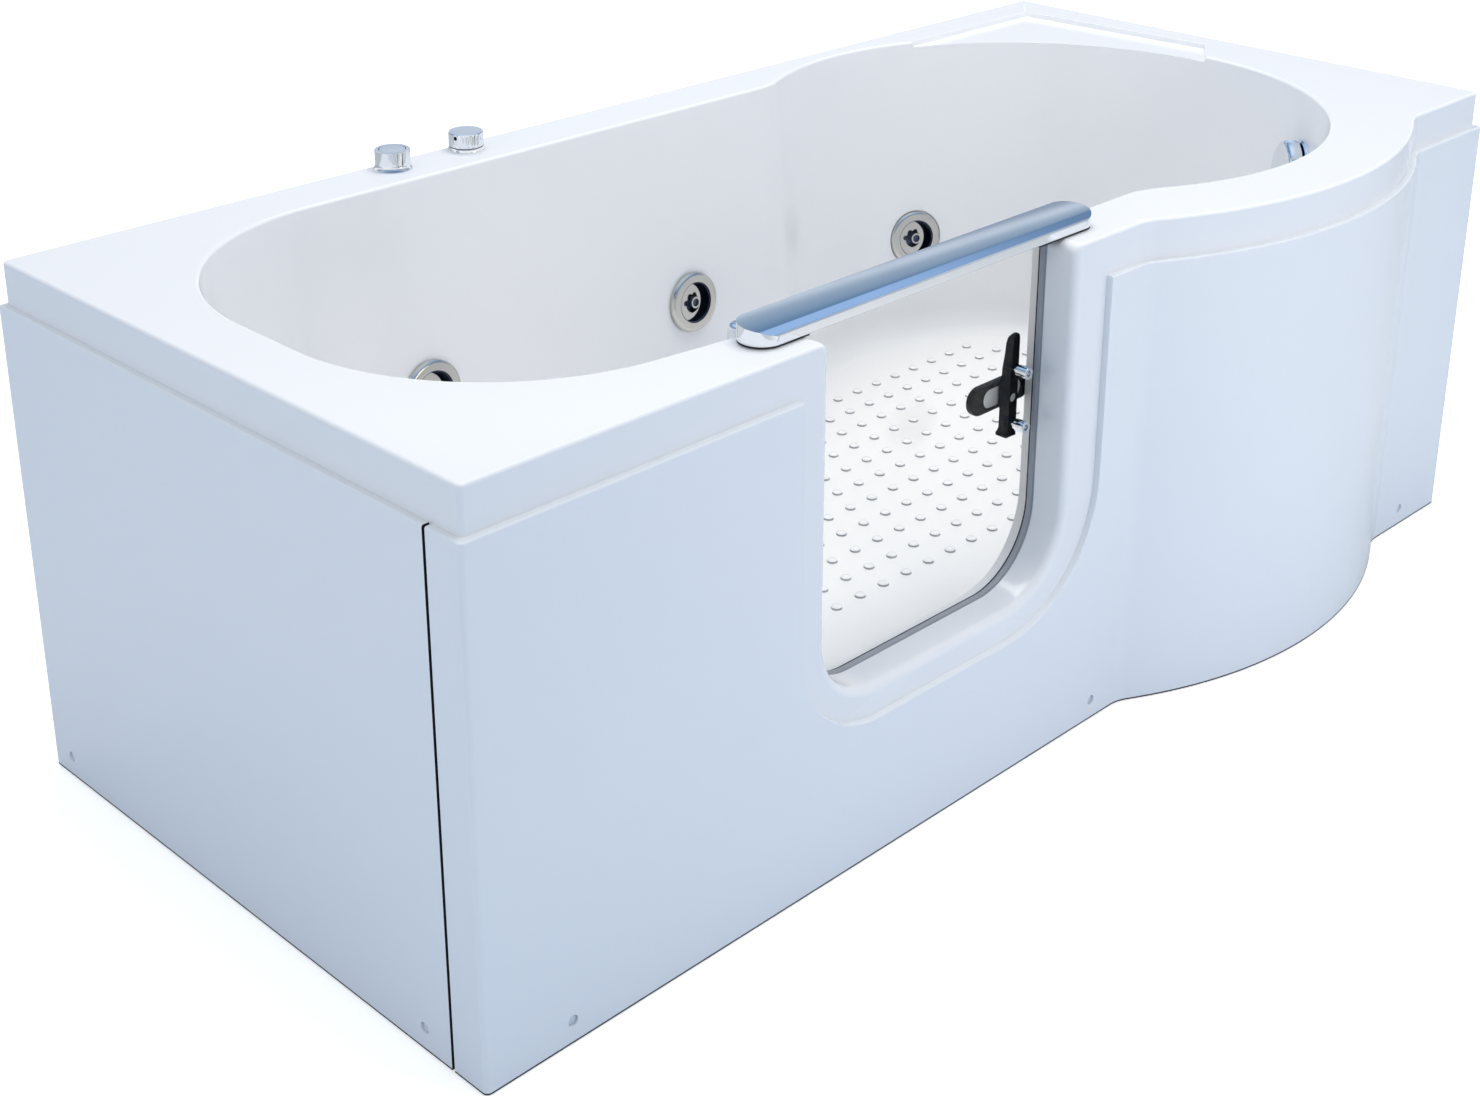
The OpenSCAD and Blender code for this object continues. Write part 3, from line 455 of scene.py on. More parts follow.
# %% [markdown]
# ## The studio
#
# The bath stands on a white floor that runs to a white horizon, so the
# picture has no background but the soft shadow. The floor could be one plain
# white, but then its light would bleach the upright faces. So the camera sees
# it white, polished metal sees it light grey, and the light that it throws
# back onto the bath is the pale blue of the picture's panels.

# %% Floor
FLOOR_SEEN = (0.95, 0.95, 0.95, 1)
FLOOR_THROWN = (0.52, 0.64, 0.80, 1)
FLOOR_MIRRORED = (0.65, 0.66, 0.665, 1)
take_none()
bpy.ops.mesh.primitive_plane_add(size=60, location=(0, 0, -0.0005))
floor = bpy.context.object
floor.name = "studio_floor"
floor_paint = bpy.data.materials.new("floor_paint")
floor_paint.use_nodes = True
tree = floor_paint.node_tree
shader = tree.nodes["Principled BSDF"]
set_inputs(shader, {"Roughness": 0.9, "Specular IOR Level": 0.1,
                    "Emission Color": (1, 1, 1, 1)})
path = add_node(tree, "LightPath")
glow = add_node(tree, "Math", "MULTIPLY")
glow.inputs[1].default_value = 0.42
seen = add_node(tree, "Mix", A=FLOOR_THROWN, B=FLOOR_SEEN)
mirrored = add_node(tree, "Mix", B=FLOOR_MIRRORED)
link(tree, ((path.outputs["Is Camera Ray"], seen.inputs["Factor"]),
            (path.outputs["Is Glossy Ray"], mirrored.inputs["Factor"]),
            (seen.outputs["Result"], mirrored.inputs["A"]),
            (mirrored.outputs["Result"], shader.inputs["Base Color"]),
            (path.outputs["Is Camera Ray"], glow.inputs[0]),
            (glow.outputs[0], shader.inputs["Emission Strength"])))
floor.data.materials.append(floor_paint)
print("floor:", floor.name)

# %% [markdown]
# The sky has two faces. What polished metal mirrors is a ramp of bands from
# a white horizon through slate to a clear blue overhead, which gives the
# rail its stripes. What lights the bath is a second, smoother ramp, so each
# can be set without the other.

# %% World
SKY_BANDS = ((0.13, (1, 1, 1, 1)), (0.24, (0.36, 0.43, 0.55, 1)),
             (0.37, (0.32, 0.38, 0.50, 1)), (0.395, (0.60, 0.68, 0.80, 1)),
             (0.41, (0.60, 0.68, 0.80, 1)), (0.44, (0.35, 0.45, 0.58, 1)),
             (0.53, (0.145, 0.26, 0.43, 1)), (0.63, (0.16, 0.27, 0.45, 1)),
             (0.69, (0.33, 0.52, 0.86, 1)), (0.80, (0.40, 0.60, 0.92, 1)))
world = bpy.data.worlds.new("studio_world")
scene.world = world
world.use_nodes = True
tree = world.node_tree
sky = tree.nodes["Background"]
soft = add_node(tree, "Background")
sky_coords = add_node(tree, "TexCoord")
split = add_node(tree, "SeparateXYZ")
light_path = add_node(tree, "LightPath")
choose = add_node(tree, "MixShader")


def sky_ramp(low, high, between):
    """A colour ramp between two (place, colour) ends."""
    ramp = add_node(tree, "ValToRGB")
    for mark, (place, colour) in zip(ramp.color_ramp.elements, (low, high)):
        mark.position = place
        mark.color = colour
    for place, colour in between:
        ramp.color_ramp.elements.new(place).color = colour
    return ramp


ramp = sky_ramp((0.0, (1, 1, 1, 1)), (1.0, (0.80, 0.90, 1.0, 1)), SKY_BANDS)
tint = sky_ramp((0.1, (0.28, 0.40, 0.56, 1)), (0.95, (0.90, 0.92, 0.95, 1)),
                ((0.6, (0.35, 0.43, 0.52, 1)),))
link(tree, ((sky_coords.outputs["Generated"], split.inputs[0]),
            (split.outputs["Z"], ramp.inputs["Fac"]),
            (ramp.outputs["Color"], sky.inputs["Color"]),
            (split.outputs["Z"], tint.inputs["Fac"]),
            (tint.outputs["Color"], soft.inputs["Color"]),
            (light_path.outputs["Is Diffuse Ray"], choose.inputs["Fac"]),
            (sky.outputs[0], choose.inputs[1]),
            (soft.outputs[0], choose.inputs[2]),
            (choose.outputs[0], tree.nodes["World Output"].inputs[0])))
print("sky bands:", len(ramp.color_ramp.elements))

# %% [markdown]
# Three soft lamps do the rest. A wide one overhead makes the rim the
# brightest face, a small one in front lifts the bow, and one at the left
# evens out the end panel. Polished metal doesn't see them, because their
# square pictures would show in it.

# %% Lamps


def lamp(name, place, target, size, watts, colour):
    """A soft lamp that looks at a target and isn't mirrored."""
    data = bpy.data.lights.new(name, "AREA")
    data.shape = "RECTANGLE"
    data.size, data.size_y = size
    data.energy = watts
    data.color = colour
    light = bpy.data.objects.new(name, data)
    light.location = place
    away = Vector(place) - Vector(target)
    light.rotation_euler = away.to_track_quat("Z", "Y").to_euler()
    light.visible_glossy = False
    scene.collection.objects.link(light)


lamp("overhead", (0.45, 0.2, 3.3), (0.1, 0.05, 0.3), (2.8, 1.8), 62,
     (1.0, 0.97, 0.93))
lamp("bow_glow", (0.35, -2.1, 1.0), (0.42, -0.3, 0.4), (1.0, 1.0), 12,
     (1.0, 0.90, 0.80))
lamp("left_fill", (-3.6, -0.3, 1.3), (-0.8, 0, 0.3), (1.6, 1.2), 18,
     (1.0, 0.89, 0.76))
scene.view_settings.view_transform = "Standard"

# %% [markdown]
# ## The moulded tub
#
# On the real bath the rim, basin, doorway and the frame round the doorway are
# one sheet of acrylic. Its outline is a rectangle whose front bows out in a
# large arc, with hollow fillets where the arc starts. The basin is a channel
# that runs into a round end. Both are written as outlines that can be drawn
# in by any amount, so a stack of outlines gives the tapered wall, the cove at
# the floor and every rounded edge. Beveling a plain box would be quicker, but
# couldn't taper the wall more at the back than at the door.

# %% Sizes of the tub
TUB_L, TUB_W, TUB_H = 1700, 756, 600
WALL = 6
EDGE, LIP = 4, 4  # Radii of the rim's outer edge and of the basin's lip
BOW_R, BOW_FILLET = 570, 60
BOW_X, BOW_Y = 1240, 490
BOW_DX = math.sqrt((BOW_R + BOW_FILLET) ** 2 - (BOW_Y + BOW_FILLET) ** 2)
BOW_A = math.degrees(math.atan2(BOW_Y + BOW_FILLET, BOW_DX))
BASIN_X0, BASIN_Y1, BASIN_Y2 = 71, 64, 677
ROUND_X, ROUND_Y, ROUND_R = 1242, 371, 360
BASIN_CORNER, BASIN_BLEND = 250, 115
# How far the wall's upper edge leans out at the left, at the front, in the
# front left corner, and along the back and the round end
LEAN_LEFT, LEAN_FRONT, LEAN_CORNER, LEAN_BACK = 5, 8, 12, 3.5
STRAIGHT_FROM = 405
FLOOR_Z = 160
DRAFT_TOP, DRAFT_LOW, DRAFT_IN = 590, 205, 37
FRONT_SHARE, COVE_IN = 0.25, 36
TILT = math.atan2(DRAFT_IN, DRAFT_TOP - DRAFT_LOW)
DOOR_X1, DOOR_X2, SILL_Z = 440, 824, 200
# The raised frame round the doorway: left, right, low edge, corner radii
APRON = (398, 880, 166, 120, 150)
HUB = (ROUND_X, ROUND_Y)
print("bow from x =", round(BOW_X - BOW_DX), "to", round(BOW_X + BOW_DX))

# %% Outlines of the tub and of the basin


def tub_outline(inset):
    """Outline of the tub from above, drawn in by the inset."""
    r = min(max(6 - inset, 0.6), 6)
    low, right, back = inset + r, TUB_L - inset - r, TUB_W - inset - r
    return (arc((low, low), r, 180, 270, 8)
            + arc((BOW_X - BOW_DX, -BOW_FILLET), BOW_FILLET + inset, 90,
                  BOW_A, 8)
            + arc((BOW_X, BOW_Y), BOW_R - inset, 180 + BOW_A, 360 - BOW_A,
                  56, 1)
            + arc((BOW_X + BOW_DX, -BOW_FILLET), BOW_FILLET + inset,
                  180 - BOW_A, 90, 8, 1)
            + arc((right, low), r, 270, 360, 8)
            + arc((right, back), r, 0, 90, 8)
            + arc((low, back), r, 90, 180, 8))


def basin_outline(inset, front, rise=1.0):
    """Outline of the basin, drawn in by inset, and by front at the door."""
    rc, rb, rr = BASIN_CORNER - inset, BASIN_BLEND + inset, ROUND_R - inset
    span = rb + rr
    xc = BASIN_X0 + LEAN_LEFT * rise + BASIN_CORNER
    y_low = BASIN_Y1 + front + LEAN_FRONT * rise
    y_high = BASIN_Y2 - inset + LEAN_BACK * rise
    y_front, y_back = y_low - rb, y_high + rb
    y_mid = ROUND_Y - LEAN_BACK * rise
    rise_f, rise_b = y_mid - y_front, y_back - y_mid
    dx_f = math.sqrt(span ** 2 - rise_f ** 2)
    dx_b = math.sqrt(span ** 2 - rise_b ** 2)
    a_f = math.degrees(math.atan2(rise_f, dx_f))
    a_b = math.degrees(math.atan2(rise_b, dx_b))
    y_corner = y_low + LEAN_CORNER * rise + rc
    return (arc((xc, y_corner), rc, 180, 262, 28)
            + [(STRAIGHT_FROM, y_low)]
            + arc((ROUND_X - dx_f, y_front), rb, 90, a_f, 12)
            + arc((ROUND_X, y_mid), rr, 180 + a_f, 540 - a_b, 110, 1)
            + arc((ROUND_X - dx_b, y_back), rb, 360 - a_b, 270, 12, 1)
            + arc((xc, y_high - rc), rc, 90, 180, 30))


# %% [markdown]
# From the floor up, the wall is a cove, then a straight taper, then either a
# rounded lip or, for its outer skin, a plain rim. The front wall tapers less
# than the others, to leave room for the door.

# %% Rings of the basin and outline of the doorway


def rounded(radius, z, degrees):
    """(inset, height) points round an upper edge, at these degrees."""
    return [(radius * (1 - math.cos(math.radians(a))),
             z + radius * math.sin(math.radians(a))) for a in degrees]


def basin_rings(out, top):
    """(inset, height, front inset, rise) of the rings, from the floor."""
    rings = []
    for i in range(11):
        b = math.radians(90 - 9 * i)
        sweep = (COVE_IN + out / 2) * (1 - math.cos(b))
        rings.append((DRAFT_IN - out + sweep,
                      DRAFT_LOW - (DRAFT_LOW - FLOOR_Z + out) * math.sin(b),
                      DRAFT_IN * FRONT_SHARE - out + sweep, 0))
    for i in range(1, 7):
        s = i / 6
        rings.append((DRAFT_IN * (1 - s) - out,
                      DRAFT_LOW + (DRAFT_TOP - DRAFT_LOW) * s,
                      DRAFT_IN * FRONT_SHARE * (1 - s) - out, s))
    if out:
        rings.append((-out, top, -out, 1))
        return rings
    for i in range(9):
        a = math.radians(90 - 11.25 * i)
        lip = LIP * (math.sin(a) - 1) - 0.5
        rings.append((lip, TUB_H - LIP + LIP * math.cos(a), lip, 1))
    rings.append((-LIP - 0.5, top, -LIP - 0.5, 1))
    return rings


def basin_skin(name, out, top):
    """The basin as a closed body, grown outwards by the wall if need be."""
    return loft(name, [[(x, y, z) for x, y in basin_outline(inset, front, s)]
                       for inset, z, front, s in basin_rings(out, top)], HUB)


def doorway(grow, top, x1=DOOR_X1, x2=DOOR_X2, z=SILL_Z, rl=80, rr=90,
            flare=0):
    """U outline in X and Z, grown outwards; the top may flare open."""
    left, right = [(x1 - grow, top)], [(x2 + grow, top)]
    if flare:
        bend = rounded(flare, TUB_H - flare, range(0, 91, 10))
        left = ([(x1 - grow - flare, top)]
                + [(x1 - grow - dx, h) for dx, h in reversed(bend)])
        right = ([(x2 + grow + dx, h) for dx, h in bend]
                 + [(x2 + grow + flare, top)])
    return (left + arc((x1 + rl, z + rl), rl + grow, 180, 270, 20)
            + arc((x2 - rr, z + rr), rr + grow, 270, 360, 20) + right)


# %% [markdown]
# The solid forms are joined first: the rim with its hollow underside, the
# basin's outer skin, the frame round the doorway, the jambs and the bed of
# the shelf. Cutting comes after, so that every cut runs clean through all.

# %% Rim, basin and frame as one skin
rim_profile = ([(1.2, 540), (0, 541.2), (0, TUB_H - EDGE)]
               + rounded(EDGE, TUB_H - EDGE, range(10, 91, 10)))
tub = loft("moulded_tub", [[(x, y, z) for x, y in tub_outline(inset)]
                           for inset, z in rim_profile], HUB)
boolean(tub, plate("rim_hollow", tub_outline(WALL), 530, TUB_H - WALL, HUB))
boolean(tub, basin_skin("basin_back", WALL, TUB_H - 3), "UNION")
boolean(tub, slab("apron", doorway(15, 590, *APRON), 0, WALL), "UNION")
boolean(tub, slab("jambs", doorway(20, 598.5), EDGE, 78), "UNION")
SHELF = [(1374, 706), (1643, 706), (1664, 399), (1588, 347), (1374, 591)]
boolean(tub, plate("shelf_bed", [(1366, 714), (1651, 714), (1674, 391),
                                 (1592, 335), (1374, 591)], 586, 599), "UNION")
print("tub before cuts:", len(tub.data.polygons), "faces")

# %% [markdown]
# ## Fittings in the wall
#
# Jets, overflow and suction sit square on the tapered wall, so each has a
# matrix that leans with it. Round pieces are spun from a half profile, as on
# a lathe: cutting rings out of cylinders would take many more steps.

# %% Spin a profile


def turned(name, profile, place, steps=64):
    """Spins a profile of (radius, height) in mm about Z, then places it."""
    points = [(r / 1000, 0, h / 1000) for r, h in profile]
    edges = [(i, i + 1) for i in range(len(points) - 1)]
    if profile[0][0] and profile[-1][0]:
        edges.append((len(points) - 1, 0))
    piece = mesh_piece(name, points, edges=edges)
    edit(piece)
    bpy.ops.mesh.spin(steps=steps, angle=math.tau, center=(0, 0, 0),
                      axis=(0, 0, 1))
    bpy.ops.object.mode_set(mode="OBJECT")
    tidy_faces(piece)
    piece.data.transform(place)
    return tidy_faces(piece)


# %% Places of the wall fittings


def wall_in(z):
    """How far the wall has drawn in at a height."""
    return DRAFT_IN * (DRAFT_TOP - z) / (DRAFT_TOP - DRAFT_LOW)


def on_wall(point, turn):
    """Matrix of a fitting on the wall, its +Z facing into the basin."""
    return (Matrix.Translation(spot(*point))
            @ Matrix.Rotation(math.radians(turn), 4, "Z")
            @ Matrix.Rotation(TILT - math.pi / 2, 4, "Y"))


def on_round(turn, z):
    """Matrix of a fitting on the round end's wall."""
    r = ROUND_R - wall_in(z)
    a = math.radians(turn)
    return on_wall((ROUND_X + r * math.cos(a), ROUND_Y + r * math.sin(a), z),
                   turn)


JETS = [on_wall((461, BASIN_Y2 - wall_in(345), 345), 90),
        on_wall((888, BASIN_Y2 - wall_in(345), 345), 90),
        on_round(68, 311)]
DRAIN_TURN, DRAIN_R = -40, 215  # The waste lies below the overflow
OVERFLOW, SUCTION = on_round(DRAIN_TURN, 505), on_round(0, 218)
BUTTON, VALVE = (480, 732), (590, 734)
WASTE = (ROUND_X + DRAIN_R * math.cos(math.radians(DRAIN_TURN)),
         ROUND_Y + DRAIN_R * math.sin(math.radians(DRAIN_TURN)))
print("jets at", [tuple(round(v, 3) for v in jet.translation)
                  for jet in JETS])


def drill(place, radius, low, high, sides=72):
    """A round cutter along a fitting's own axis."""
    return turned("drill", [(0, low), (radius, low), (radius, high),
                            (0, high)], place, sides)


# %% [markdown]
# The basin's room is cut out first, less three pads that carry the hinge
# brackets and the keeper. The doorway's tool flares at its front edge and
# towards the top, which leaves the rounded corners of the jambs, and a second
# tool steps the jambs back for the seal.

# %% A box between two corners


def block(name, low, high):
    """A box between two corners of the drawing."""
    take_none()
    middle = [(a + b) / 2 for a, b in zip(low, high)]
    bpy.ops.mesh.primitive_cube_add(size=1, location=spot(*middle))
    piece = bpy.context.object
    piece.name = name
    piece.scale = [(b - a) / 1000 for a, b in zip(low, high)]
    bpy.ops.object.transform_apply()
    return piece


# %% Cut the basin, the doorway, the shelf and the holes
# Each wall fitting with the radii of its bed, its seat and its hole
SEATS = [(jet, 46, 41, 30) for jet in JETS] + [
    (OVERFLOW, 40, 38.5, 20), (SUCTION, 46, 41, 30)]
for place, bed, *_ in SEATS:
    boolean(tub, drill(place, bed, -8, -3.5), "UNION")
room = basin_skin("basin_room", 0, 640)
for low, high in (((370, 40, 208), (426, 73, 250)),
                  ((370, 40, 542), (426, 73, 584)),
                  ((841, 40, 394), (875, 70, 438))):
    boolean(room, block("pad", low, high))
boolean(tub, room)
jamb_edge = [(11, -2), (10, 0), (6.2, 0.76), (2.9, 2.9), (0.76, 6.2),
             (0, 10), (0, 20), (0, 40.01)]
door_tool = loft("door_tool", [
    [(x, y, z) for x, z in doorway(grow, 640, flare=12)]
    for grow, y in reversed(jamb_edge)])
boolean(tub, door_tool)
boolean(tub, slab("rebate_tool", doorway(14, 640), 40, 79))
shelf_tool = loft("shelf_tool", [
    [(x + dx * s, y + dy * s, z) for (x, y), (dx, dy) in zip(
        SHELF, ((1, -1), (-1, -1), (-1, 0.5), (-0.3, 0.9), (1, 0)))]
    for s, z in ((4.4, 592), (3.3, 592.3), (2.3, 593.2), (1.1, 598.4),
                 (0.4, 599.6), (-0.5, 600), (-0.5, 610))])
boolean(tub, shelf_tool)
for place, _, seat, hole in SEATS:
    boolean(tub, drill(place, seat, -1.5, 12))
    boolean(tub, drill(place, hole, -20, 10))
for x, y, z, radius in ((*WASTE, FLOOR_Z, 22), (*BUTTON, TUB_H, 12.5),
                        (*VALVE, TUB_H, 12.5)):
    boolean(tub, drill(Matrix.Translation(spot(x, y, z)), radius, -20, 20))
tidy_faces(tub)
fit(tub, "tub_shell", angle=30)

# %% [markdown]
# ## Side panels
#
# The panels are separate sheets that stand 8 mm proud of the rim, with a
# rounded upper edge. The front one follows the bow and has a U cut out of it
# for the frame of the doorway. A thin gap at the left corner shows that the
# end panel is a piece of its own. Both are cut from one skin that runs round
# the whole tub, so their edges line up. Their lowest edge and the gap are
# painted near black: painted shadow, for the shade under the panels at the
# floor and in the gap where the two sheets meet.

# %% Rods and rounded edges


def rod(name, start, direction, radius, length, sides=48):
    """A plain rod of the drawing, as a tool for cuts or a blank."""
    away = Vector(direction).normalized()
    middle = Vector(start) + away * length / 2
    take_none()
    bpy.ops.mesh.primitive_cylinder_add(
        vertices=sides, radius=radius / 1000, depth=length / 1000,
        location=spot(*middle),
        rotation=away.to_track_quat("Z", "Y").to_euler())
    piece = bpy.context.object
    piece.name = name
    bpy.ops.object.transform_apply()
    return piece


def round_edges(piece, width_mm, segments=3, angle=35):
    """Rounds every edge that is sharper than the angle."""
    step = piece.modifiers.new("bevel", "BEVEL")
    step.width = width_mm / 1000
    step.segments = segments
    step.limit_method = "ANGLE"
    step.angle_limit = math.radians(angle)
    step.harden_normals = False
    apply_step(piece, step)
    return piece


# %% The skin that both panels are cut from
PROUD = 8
CAPS_FRONT, CAPS_LEFT, CAP_Z = (95, 892, 1606), (81, 721), 25
panel_profile = [(-PROUD, 0.4), (-PROUD, 2.2), (-PROUD, 550.4)] + [
    (-PROUD + inset, z) for inset, z in rounded(2.2, 550.8, range(0, 91, 15))]


def panel_skin(name):
    """A wall of the panels' thickness round the whole tub."""
    skin = loft(name, [[(x, y, z) for x, y in tub_outline(inset)]
                       for inset, z in panel_profile], HUB)
    return boolean(skin, plate("inside", tub_outline(0), -5, 560, HUB))


# %% Front panel
front = panel_skin("front_panel_skin")
boolean(front, block("behind", (-100, 38, -10), (1800, 900, 600)))
u_edge = [(3.2, -PROUD - 1), (2.2, -PROUD), (0.64, -PROUD + 0.64),
          (0, -PROUD + 2.2), (0, 2)]
boolean(front, loft("u_tool", [
    [(x, y, z) for x, z in doorway(grow, 620, *APRON)]
    for grow, y in reversed(u_edge)]))
for x in CAPS_FRONT:
    boolean(front, rod("cap_seat", (x, -PROUD - 1, CAP_Z), (0, 1, 0), 6, 5))
round_edges(front, 0.7, 2, 50)
fit(front, "front_panel", angle=30)
# Painted shadow: the lowest edge and the faces of the corner gap get the
# near-black finish.
paint(front, "gap_shadow_paint", lambda p, n: p[2] < 2.15 or (
    p[0] < 2 and n.y > 0.7 and 34 < p[1]))

# %% End panel
end = panel_skin("end_panel_skin")
boolean(end, block("ahead", (-100, -200, -10), (1900, 42, 600)))
boolean(end, block("right", (20, -200, -10), (1900, 900, 600)))
boolean(end, block("beyond", (-100, TUB_W, -10), (1900, 900, 600)))
for y in CAPS_LEFT:
    boolean(end, rod("cap_seat", (-PROUD - 1, y, CAP_Z), (1, 0, 0), 6, 5))
round_edges(end, 0.7, 2, 50)
fit(end, "end_panel", angle=30)
# Painted shadow: the lowest edge and the faces of the corner gap get the
# near-black finish.
paint(end, "gap_shadow_paint", lambda p, n: p[2] < 2.15 or (
    n.y < -0.7 and p[1] < 46))

# %% [markdown]
# A small cap with a ring-shaped groove hides each of the panels' screws.
# All five come from one profile, turned to face the front or the left.

# %% Screw caps in the panels
cap_profile = [(0, 1.9), (1.2, 1.9), (1.5, 1.5), (2.4, 1.5), (2.7, 1.9),
               (4.0, 1.7), (4.7, 1.2), (5.0, 0.4), (5.0, -0.4), (0, -0.4)]
caps = [turned("cap", cap_profile, Matrix.Translation(spot(*place))
               @ Matrix.Rotation(math.radians(turn), 4, axis), 32)
        for place, turn, axis in (
            [((x, -4.4, CAP_Z), 90, "X") for x in CAPS_FRONT]
            + [((-4.4, y, CAP_Z), -90, "Y") for y in CAPS_LEFT])]


def merge(name, pieces):
    """Joins several meshes into one piece."""
    take(pieces[0])
    for piece in pieces[1:]:
        piece.select_set(True)
    bpy.ops.object.join()
    bpy.context.object.name = name
    return bpy.context.object


fit(merge("screw_caps", caps), "panel_caps")

# %% [markdown]
# ## Studs on the basin floor
#
# The floor is made safe by rows of low round studs, 40 mm apart and staggered
# from row to row. One stud is spun once and then copied, each copy with its
# own mesh, and only those that lie on the flat of the floor are kept.

# %% Rows of studs
PITCH = 40
stud_profile = [(0, 3.7), (3.2, 3.6), (5.2, 3.1), (6.2, 2.2), (6.5, 0.8),
                (6.6, -0.4), (0, -0.4)]


def on_flat(x, y):
    """Whether a stud here lies on the floor, off its cove and the waste."""
    if math.dist((x, y), WASTE) < 52:
        return False
    corner_y = 324 if y < ROUND_Y else 427
    if (x < 311 and math.dist((x, y), (321, corner_y)) > 168
            and not 304 < y < 438):
        return False
    return (160 < x <= ROUND_X and 152 < y < 606
            or math.dist((x, y), HUB) < 276)


stud_spots = [(x, y) for y in range(148, 148 + 12 * PITCH, PITCH)
              for x in range(642 + (y - 148) // PITCH % 2 * 20 - 13 * PITCH,
                             642 + 24 * PITCH, PITCH)
              if on_flat(x, y)]
first = turned("stud", stud_profile, Matrix.Identity(4), 14)
studs = []
for x, y in stud_spots:
    stud = first.copy()
    stud.data = first.data.copy()
    stud.data.transform(Matrix.Translation(spot(x, y, FLOOR_Z)))
    scene.collection.objects.link(stud)
    studs.append(stud)
bpy.data.objects.remove(first, do_unlink=True)
floor_studs = merge("floor_studs", studs)
print("studs:", len(stud_spots))
fit(floor_studs, slot="acrylic", body="tub")
# Painted shade: the studs' steep sides get the grey of the pipes, for the
# shade on each stud's side.
paint(floor_studs, "pipe_grey", lambda p, n: abs(n.z) < 0.5)

# %% [markdown]
# ## The glass door
#
# The pane is a little larger than the doorway and rests on a grey seal from
# the inside, so the water presses it shut. Its outline is the doorway's,
# grown by 8 mm, with a small chamfer on both faces' edges.

# %% Glass pane
pane_edge = [(7, 52), (8, 53), (8, 59), (7, 60)]
pane = loft("door_pane", [[(x, y, z) for x, z in doorway(grow, 612)]
                          for grow, y in reversed(pane_edge)])
fit(pane, "door_glass")

# %% [markdown]
# The seal is one rubber section all round the U. The loft runs across its
# section instead of along it: each ring is the section's outline at one place
# of the doorway, so the section may be as fine as it needs to be.

# %% Seal round the doorway
seal_profile = [(13.8, 40.2), (13.8, 51.6), (1.2, 51.6), (0.5, 51.2),
                (0.5, 49.4), (-0.4, 48.6), (-0.8, 46.8), (-0.8, 44.0),
                (-0.3, 42.6), (0.9, 42.0), (0.9, 40.2)]
tracks = [[(x, y, z) for x, z in doorway(grow, 597)]
          for grow, y in seal_profile]
seal = loft("door_seal_lip", [[track[k] for track in tracks]
                              for k in range(len(tracks[0]))])
fit(seal, "door_seal", angle=40)
# Painted shadow: the seal's faces next to the pane are black, for the shade
# along the glass edge.
paint(seal, "rubber_black", lambda p, n: p[1] > 49.3)

# %% [markdown]
# A polished rail caps the pane. Seen from above it has round ends, and its top
# rises from a thin front lip in a curve towards the back. The curve is given
# by its tilt at each depth, because the tilt decides which band of the sky
# the metal mirrors there. Everything above the curve is cut away.

# %% Rail on the door
RAIL_X1, RAIL_X2, RAIL_Y, RAIL_Z = 396, 870, 48, 604


def stadium(x1, x2, y, r, steps=24):
    """A slot with round ends, seen from above."""
    return (arc((x1, y), r, 90, 270, steps)
            + arc((x2, y), r, -90, 90, steps))


# Tilt of the rail's top, in degrees, at each depth behind its front edge
RAIL_TILT = [(0.9, 60), (1.5, 26), (8.6, 24), (9.4, 10), (14, 7.5), (22, 6),
             (30, 4.6), (36, 3.8), (42, 3.0), (46.5, 2.3), (49, 2.3)]
STEPS = 6
slope = [(-3, 7.2), (0, 7.2), (0.2, 7.9)]
for (y1, t1), (y2, t2) in zip(RAIL_TILT, RAIL_TILT[1:]):
    for k in range(STEPS):
        tilt = t1 + (t2 - t1) * (k + 0.5) / STEPS
        depth = y1 + (y2 - y1) * (k + 1) / STEPS
        step = depth - slope[-1][0]
        slope.append((depth,
                      slope[-1][1] + step * math.tan(math.radians(tilt))))
rail = loft("door_top_rail", [
    [(x, y, RAIL_Z + h)
     for x, y in stadium(RAIL_X1, RAIL_X2, RAIL_Y, 24 - inset)]
    for inset, h in ((0.9, -1.8), (0.3, -1.5), (0, -0.9), (0, 22))])
boolean(rail, loft("above_rail", [
    [(366, 24 + y, RAIL_Z + h), (900, 24 + y, RAIL_Z + h),
     (900, 24 + y, 640), (366, 24 + y, 640)] for y, h in slope]))
round_edges(rail, 0.5, 2, 40)
print("rail height:", round(slope[-1][1] + 1.8, 1), "mm")
fit(rail, "door_rail", angle=24)

# %% [markdown]
# Two thin black pads lie between the rail's ends and the rim. They are the
# rail's own outline, a little smaller, trimmed to its ends, with room cut
# out for the pane.

# %% Gaskets under the rail's ends
gaskets = []
for cut_low, cut_high in ((437, 900), (300, 790)):
    pad = plate("gasket", stadium(RAIL_X1, RAIL_X2, RAIL_Y, 23.4), 600.4,
                602.4)
    boolean(pad, block("trim", (cut_low, 0, 590), (cut_high, 100, 620)))
    boolean(pad, block("pane_room", (431, 51, 590), (833, 61, 620)))
    gaskets.append(round_edges(pad, 0.5, 2))
fit(merge("rail_end_gaskets", gaskets), "rail_gaskets")

# %% [markdown]
# ## The latch
#
# An upright bar is screwed to the pane from outside and carries the oval lever
# on its inner side. The bar is where two outlines meet, one seen from the
# front and one from the side, and the lever is a stack of round-ended
# outlines with a pocket for its pale inlay.

